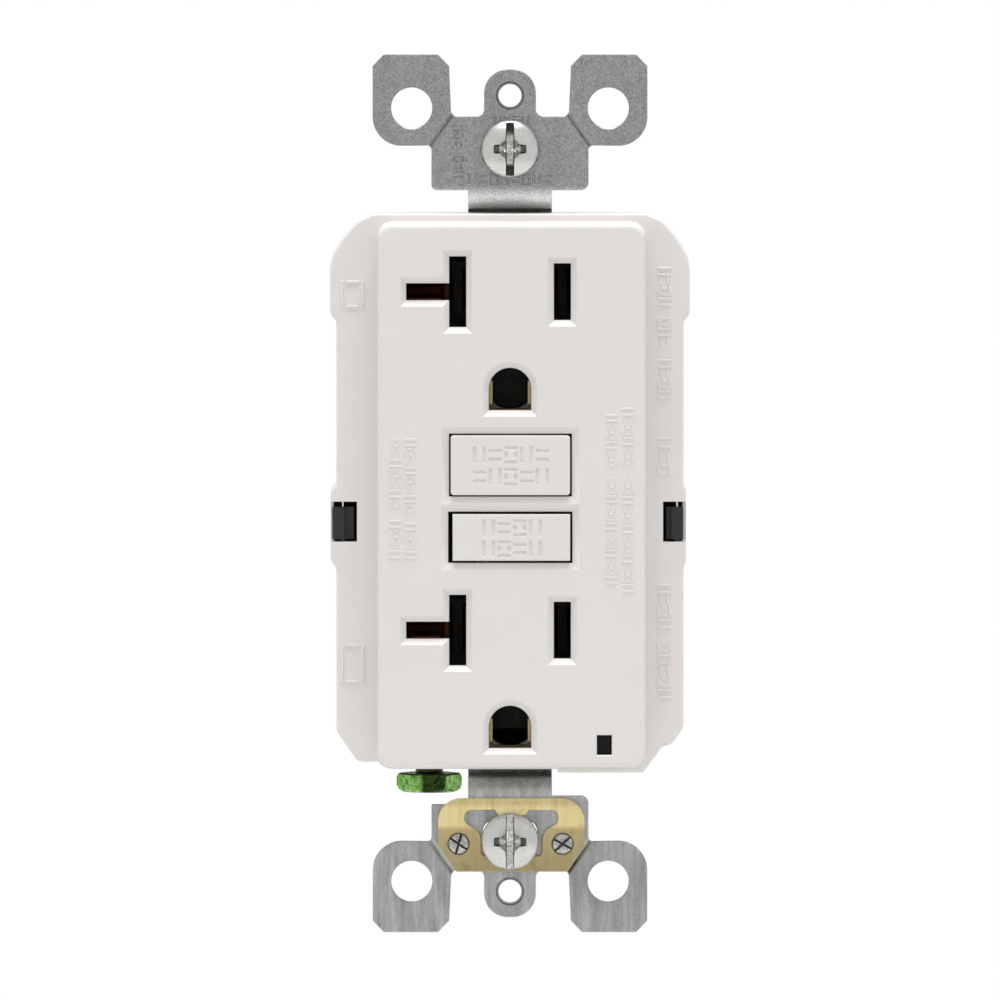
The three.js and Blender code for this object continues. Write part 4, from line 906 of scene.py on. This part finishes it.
def strap_end_outline(left, right):
    """A plate with two ears and a round tab between them."""

    def half(height, corner):
        return [
            (9.55, height, corner), (9.55, 42.35, 0.5), (16.7, 42.25, 4.2), (16.7, 52.0, 0.2),
            (15.35, 53.4, 0.2), (8.75, 53.4, 0.2), (7.4, 52.0, 0.2), (7.15, 46.3, 0.6), (6.7, 45.85, 0.3),
            (TAB_R, 45.85, 0.9), (TAB_R, TAB_Z + TAB_R, TAB_R),
        ]

    mirrored = [(-x, z, r) for x, z, r in reversed(half(*left))]
    return outline(half(*right) + mirrored + [(-4.0, left[0], 0), (-4.0, right[0], 0)], 12)


def strap_end(sign, spec, stamped):
    """One flat end of the strap, with its grooves. The lower one is the upper one turned half round."""

    def place_all(points):
        return ccw([(sign * x, sign * z) for x, z in points])

    slot_z, high, wide, corner = spec["slot"]
    holes = [
        (circle(-EAR_X, spec["ear_z"], EAR_R, 48), 0.08),
        (circle(EAR_X, spec["ear_z"], EAR_R, 48), 0.08),
        (circle(0, TAB_Z, TAB_HOLE_R, 32), 0.33),
        (rect(-wide, wide, slot_z - high, slot_z + high, corner, 10), 0.08),
    ]
    plate = Shell()
    pockets = [plate.pocket(place_all(p), -STRAP_T, 0.12, 0.06) for p in stamped]
    shape = place_all(strap_end_outline(spec["left"], spec["right"]))
    plate.slab(shape, -STRAP_T, 0, 0.1, [(place_all(h), mouth) for h, mouth in holes], pockets)
    grooves = []
    for side in (-1, 1):
        start, end = (Vector((side * x, sign * z)) for x, z in (GROOVE_FROM, GROOVE_TO))
        grooves.append(groove_cutter(start, end, spec["groove"]))
    return carved(plate.object("strap_end"), *grooves)


def groove_cutter(start, end, width):
    """A long wedge, point down, for the groove that an ear breaks off along."""
    along = (end - start).normalized()
    side = Vector((-along.y, along.x)) * width / 2
    lift = 0.5
    grown = (GROOVE_DEPTH + lift) / GROOVE_DEPTH
    cutter = Shell()
    ends = []
    for tip in (start - along, end + along):
        a, b = tip + side * grown, tip - side * grown
        corners = ((a, -STRAP_T - lift), (b, -STRAP_T - lift), (tip, -STRAP_T + GROOVE_DEPTH))
        ends.append([cutter.vertex(p.x, y, p.y) for p, y in corners])
    cutter.closed(*ends)
    return cutter.object("cutter")


def neck_path(sign):
    """The middle of the sheet where it bends back beside the body and in under the cover."""
    front, back = -STRAP_T / 2, CORE_Y + STRAP_T / 2
    stations = [(front, BEND_Z + 0.6, 0.0), (front, BEND_Z + 0.2, 0.0)]
    angles = [pi / 2 * k / BEND_STEPS for k in range(BEND_STEPS + 1)]
    for a in angles:
        stations.append((front + BEND_R * (1 - cos(a)), BEND_Z - BEND_R * sin(a), a))
    for a in reversed(angles):
        stations.append((back - BEND_R * (1 - cos(a)), BEND_Z - BEND_R * (2 - sin(a)), a))
    stations.append((back, 31.0, 0.0))
    return [(y, sign * z, sign * a) for y, z, a in stations]


def ground_wing():
    """The strap's flap that the green screw threads through."""
    wing, bore = Shell(), Shell()
    wing.slab(rect(-13.6, -6.2, -33.29, -32.0, 0.3), CORE_Y + 0.03, 13.4, 0.12)
    bore.turned([(0, -2), (1.8, -2), (1.8, 2), (0, 2)], 0, 0, 32)
    drill = bore.object("cutter")
    drill.rotation_euler = (pi / 2, 0, 0)
    drill.location = Vector(GROUND_SCREW) * MM
    return carved(wing.object("wing"), drill)


def strap_middle():
    """The necks, the core behind the outlets and the root of the ground wing."""
    middle = Shell()
    thin = STRAP_T / 2 - 0.015  # a hair thinner than the plates it runs into
    section = rect(-NECK_HALF_X, NECK_HALF_X, -thin, thin, 0.12)
    for sign in STRAP_ENDS:
        middle.sweep(section, neck_path(sign))
    core_back = CORE_Y + STRAP_T
    core = rect(-CORE_HALF_X, CORE_HALF_X, -32.5, 32.5, 0.3)
    holes = [circle(0, ground_z, 2.9, 32) for _, _, ground_z in OUTLETS]
    for spec in BUTTONS.values():
        z, (half_x, half_z) = sum(spec["cap_z"]) / 2, spec["strap_hole"]
        holes.append(rect(-half_x, half_x, z - half_z, z + half_z, 0.3))
    middle.slab(core, CORE_Y + 0.01, core_back - 0.01, 0.12, [(h, 0.1) for h in holes])
    middle.slab(rect(-13.6, -3.5, -33.3, -31.6, 0.3), CORE_Y + 0.02, core_back - 0.02, 0.12)
    return middle.object("strap_sheet")


def mounting_strap():
    stamped = marks(-6.3, 41.6, glyph_row(7, 6.6, 1.0, 0.17, 3), RISING)
    stamped += marks(0.2, 45.35, glyph_row(4, 4.4, 0.9, 0.17))
    stamped += marks(0, 38.3, glyph_row(8, 10.4, 1.1, 0.18))
    made = strap_middle()
    joined(made, ground_wing())
    for sign, spec in STRAP_ENDS.items():
        joined(made, strap_end(sign, spec, stamped if sign > 0 else []))
    place(made, "device", STRAP, "zinc", "mounting_strap", sharp=28.0)


# ---- grounding clip, rivets and ground contacts ----


def grounding_clip():
    clip = Shell()
    outside = outline([
        (-6.6, -46.0, 0.3), (7.0, -46.0, 0.3), (9.05, -42.7, 0.5), (9.05, -37.05, 3.45),
        (-8.75, -37.05, 3.45), (-8.75, -42.7, 0.5),
    ], 12)
    keyhole = outline([
        (-3.5, -44.1, 0.6), (-3.5, -41.2, 1.6), (-5.6, -40.0, 0.8), (-5.4, -38.5, 0.8), (-1.8, -38.5, 0.2),
        (-1.4, -39.15, 0.3), (1.9, -39.15, 0.3), (2.3, -38.5, 0.2), (5.7, -38.5, 0.8), (5.9, -40.0, 0.8),
        (3.9, -41.2, 1.6), (3.9, -44.1, 0.6),
    ], 10)
    holes = [keyhole, *[circle(x, RIVET_Z, 1.32, 32) for x, _ in RIVETS.values()]]
    clip.slab(outside, CLIP_FRONT, CLIP_BACK, 0.07, [(hole, 0.06) for hole in holes])
    place(clip.object("clip_strip"), "device", CLIP, "brass", "grounding_clip")


def rivets():
    """The clip's two rivets, each with a cross of two grooves in its head."""
    front, crossing = CLIP_FRONT - 0.4, 1.25
    for name, (x, angle) in RIVETS.items():
        rivet = Shell()
        profile = [
            (0, front), (0.7, front + 0.03), (1.08, front + 0.1), (1.2, front + 0.22), (1.24, front + 0.38),
            (1.2, CLIP_BACK - 0.02), (0.92, CLIP_BACK), (0.92, -0.05), (0, -0.05),
        ]
        rivet.turned(profile, x, RIVET_Z, 36)
        made = rivet.object("rivet_" + name, RIVETED, GROOVE_SHADE)
        cuts = []
        for turn in (angle, angle + crossing):
            groove = block(-1.2, 1.2, -0.22, 0.22, -0.14, 0.14)
            groove.rotation_euler = (0, turn, 0)
            groove.location = (x * MM, front * MM, RIVET_Z * MM)
            cuts.append(groove)
        # the grooves' cut faces take the near-black painted shade
        carved(made, *cuts, lining=1)
        edged(made, 0.03)
        place(made, "device", RIVETED, "zinc", "clip_rivet_" + name)


def ground_contacts():
    """A spring leaf at either side of each ground hole, on a plate behind the hole."""
    for name, _, z in OUTLETS:
        contact = Shell()
        for x0, x1 in ((-2.62, -2.12), (2.16, 2.66)):
            contact.slab(rect(x0, x1, z - 1.95, z + 0.95, 0.12), FACE_BACK + 1.2, 4.5, 0.06)
        base = rect(-4.0, 4.0, z - 3.3, z + 3.3, 0.3)
        contact.slab(base, 4.2, 4.9, 0.08, [(rect(-2.3, 2.3, z - 2.75, z + 2.75, 0.4), 0.1)])
        made = contact.object("ground_leaves_" + name)
        place(made, "device", BRASS, "brass", "ground_contact_" + name)


# ---- mounting screws ----


def recess_cutter(y, z):
    """Four tapering wings with square ends that meet in a point."""
    cutter = Shell()
    star = []
    for k in range(4):
        a = pi / 2 * k
        for u, v in ((2.05, -0.5), (2.05, 0.5), (1.15, 0.58), (0.88, 0.88), (0.58, 1.15)):
            star.append((u * cos(a) - v * sin(a), u * sin(a) + v * cos(a)))
    rings = []
    for depth, scale in ((-0.5, 1.06), (0.25, 1.0), (0.6, 0.84), (0.95, 0.52), (1.3, 0.1)):
        rings.append(cutter.ring([(scale * a, z + scale * b) for a, b in star], y + depth))
    cutter.bridge(*rings)
    cutter.fill(rings[0])
    cutter.fill(rings[-1])
    return cutter.object("cutter")


def mounting_screws():
    """The two screws: a domed head with a slot and a cross, and a shank with ridges for its thread."""
    length, pitch, shank, groove = 22.5, 0.79, 1.7, 0.25
    slope, dome, steps = 1.2, 1.3, 12  # the angle at the dome's edge, its depth and its number of rings
    half_x, half_z = 0.5, 3.25  # of the slot
    for end, (z, crown) in SCREWS.items():
        under, tip = crown + 2.0, crown + length
        profile = [(0, crown)]
        for k in range(1, steps + 1):
            a = slope * k / steps
            fall = (1 - cos(a)) / (1 - cos(slope))
            profile.append((SCREW_R * sin(a) / sin(slope), crown + dome * fall))
        profile += [(SCREW_R + 0.02, crown + 1.5), (SCREW_R - 0.05, crown + 1.85), (SCREW_R - 0.25, under)]
        profile.append((shank, under))
        y = under + 0.6
        while y < tip - 1.4:
            profile += [(shank, y), (shank - groove, y + pitch / 2)]
            y += pitch
        profile += [(shank, tip - 1.0), (shank - 0.6, tip), (0, tip)]
        screw = Shell()
        screw.turned(profile, 0, z, 56)
        name = "mounting_screw_" + end
        made = screw.object(name + "_turned", PLATED, SHADED_RECESS)
        slot = block(-half_x, half_x, crown - 1, crown + 1.05, z - half_z, z + half_z)
        # the cut faces take the recess plating, whose dark edges, arms and slot ends are painted shade
        carved(made, slot, recess_cutter(crown, z), lining=1)
        edged(made, 0.05, 2, 40)
        place(made, name, PLATED, "screw_zinc", name)


# ---- everything that keeps its CAD shape ----


def finished_nodes():
    """CAD pieces that show from outside, with their edges rounded."""
    wanted = {
        "rear_housing": (0.2, "device", HOUSING, "housing_black"),
        "ground_screw": (0.2, "ground_screw", GREEN, "green"),
        "contact_carrier": (0.12, "device", CARRIER, "carrier_grey"),
    }
    for end in ("line", "load"):
        for pole in ("hot", "neutral"):
            name = end + "_" + pole
            finish = (BRASS, "brass") if pole == "hot" else (PLATED, "screw_zinc")
            wanted[name + "_screw"] = (0.12, name + "_screw", *finish)
            wanted[name + "_clamp"] = (0.1, name + "_clamp", PLATED, "screw_zinc")
    for corner in ("upper_left", "upper_right", "lower_left", "lower_right"):
        wanted["assembly_screw_" + corner] = (0.06, "device", PLATED, "screw_zinc")
    for node, (width, body, material, slot) in wanted.items():
        made = finer(node, width)
        if node == "contact_carrier":
            ribs = Shell()
            side_walls(ribs, CARRIER_WALLS, 0.05)
            joined(made, ribs.object("ribs"))
        place(made, body, material, slot, node)


def springs():
    """The three coil springs, each a rounded copy of its CAD node with a mesh of its own."""
    for node, joint, axis, fixed, free, travel in SPRINGS:
        made = place(finer(node, 0.02, 1), "device", STEEL, "spring_steel", node)
        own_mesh(made)


def painted_nodes():
    """CAD nodes that keep their own meshes and only take a material."""
    groups = [
        (BRASS, ["line_neutral_terminal", "line_hot_terminal"]),
        (BRONZE, ["neutral_contact_strip", "hot_contact_strip"]),
        (BRONZE, ["hot_contact_arm", "neutral_contact_arm", "test_blade"]),
        (STEEL, ["reset_pin", "latch_plate", "solenoid_plunger"]),
        (HOUSING, ["coil_housing", "solenoid_bobbin"]),
        (STRAP, ["solenoid_frame"]),
        (CARRIER, ["latch_block"]),
        (FIBRE, ["screw_retainer_upper", "screw_retainer_lower", "resistor"]),
        (BOARD, ["circuit_board"]),
        (COPPER, ["solenoid_winding"]),
        (TOROID, ["sense_coil", "neutral_coil"]),
        (COMPONENT, ["capacitor", "control_chip", "thyristor"]),
        (VARISTOR, ["varistor"]),
        (LENS, ["status_light", "light_pipe"]),
    ]
    for material, names in groups:
        for name in names:
            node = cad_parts[name]
            node.data.materials.clear()
            node.data.materials.append(material)


# ---- studio ----


def surround():
    """An even white room, a little dimmer straight ahead of the object."""
    world = bpy.data.worlds.new("surround")
    world.use_nodes = True
    bpy.context.scene.world = world
    tree = world.node_tree
    room = tree.nodes["Background"]
    coordinates, split, front, seen, rays, choose = [tree.nodes.new(kind) for kind in (
        "ShaderNodeTexCoord", "ShaderNodeSeparateXYZ", "ShaderNodeMapRange", "ShaderNodeBackground",
        "ShaderNodeLightPath", "ShaderNodeMixShader",
    )]
    for socket, number in (("From Min", -0.98), ("From Max", -0.86), ("To Min", 0.57), ("To Max", 0.82)):
        front.inputs[socket].default_value = number
    seen.inputs["Color"].default_value = (1, 1, 1, 1)
    for start, end in (
        (coordinates.outputs["Generated"], split.inputs[0]),
        (split.outputs["Y"], front.inputs["Value"]),
        (front.outputs["Result"], room.inputs["Color"]),
        (rays.outputs["Is Camera Ray"], choose.inputs[0]),
        (room.outputs[0], choose.inputs[1]),
        (seen.outputs[0], choose.inputs[2]),
        (choose.outputs[0], tree.nodes["World Output"].inputs["Surface"]),
    ):
        tree.links.new(start, end)


def softbox():
    """One broad light high above the object."""
    data = bpy.data.lights.new("key", "AREA")
    data.shape = "RECTANGLE"
    data.size, data.size_y = 0.7, 0.4
    data.energy = 8.0
    lamp = linked("key", data)
    lamp.location = (0.0, -0.16, 0.98)
    lamp.rotation_euler = (-lamp.location).to_track_quat("-Z", "Y").to_euler()


def backdrop():
    """A pale round floor below the object."""
    floor = Shell()
    height, radius = -95.0, 230.0
    rings = []
    for inset, drop in ((3, 0), (1, 0.6), (0, 2), (0, 6)):
        rings.append([floor.vertex(x, y, height - drop) for x, y in circle(0, 0, radius - inset, 96)])
    floor.closed(*rings)
    floor.object("floor", plastic("floor_paper", (0.76, 0.76, 0.75), 0.7, 0.01, 0.01))


def camera():
    """A long lens almost level with the face and a little above it."""
    width, distance, elevation = 0.12158, 3.0, radians(2.5)
    target = Vector((-1.216 * MM, -STRAP_T * MM, -0.76 * MM))
    back = Vector((0, -cos(elevation), sin(elevation)))
    data = bpy.data.cameras.new("camera")
    data.sensor_width = 36.0
    data.lens = data.sensor_width * distance / width
    data.clip_start, data.clip_end = 0.05, 20.0
    made = linked("camera", data)
    made.location = target + back * distance
    made.rotation_mode = "QUATERNION"
    made.rotation_quaternion = (-back).to_track_quat("-Z", "Y")
    bpy.context.scene.camera = made


camera()
front_cover()
for button_name, button_spec in BUTTONS.items():
    button(button_name, button_spec)
mounting_strap()
grounding_clip()
rivets()
ground_contacts()
mounting_screws()
finished_nodes()
springs()
painted_nodes()
bpy.context.scene.view_settings.view_transform = "Standard"
surround()
softbox()
backdrop()
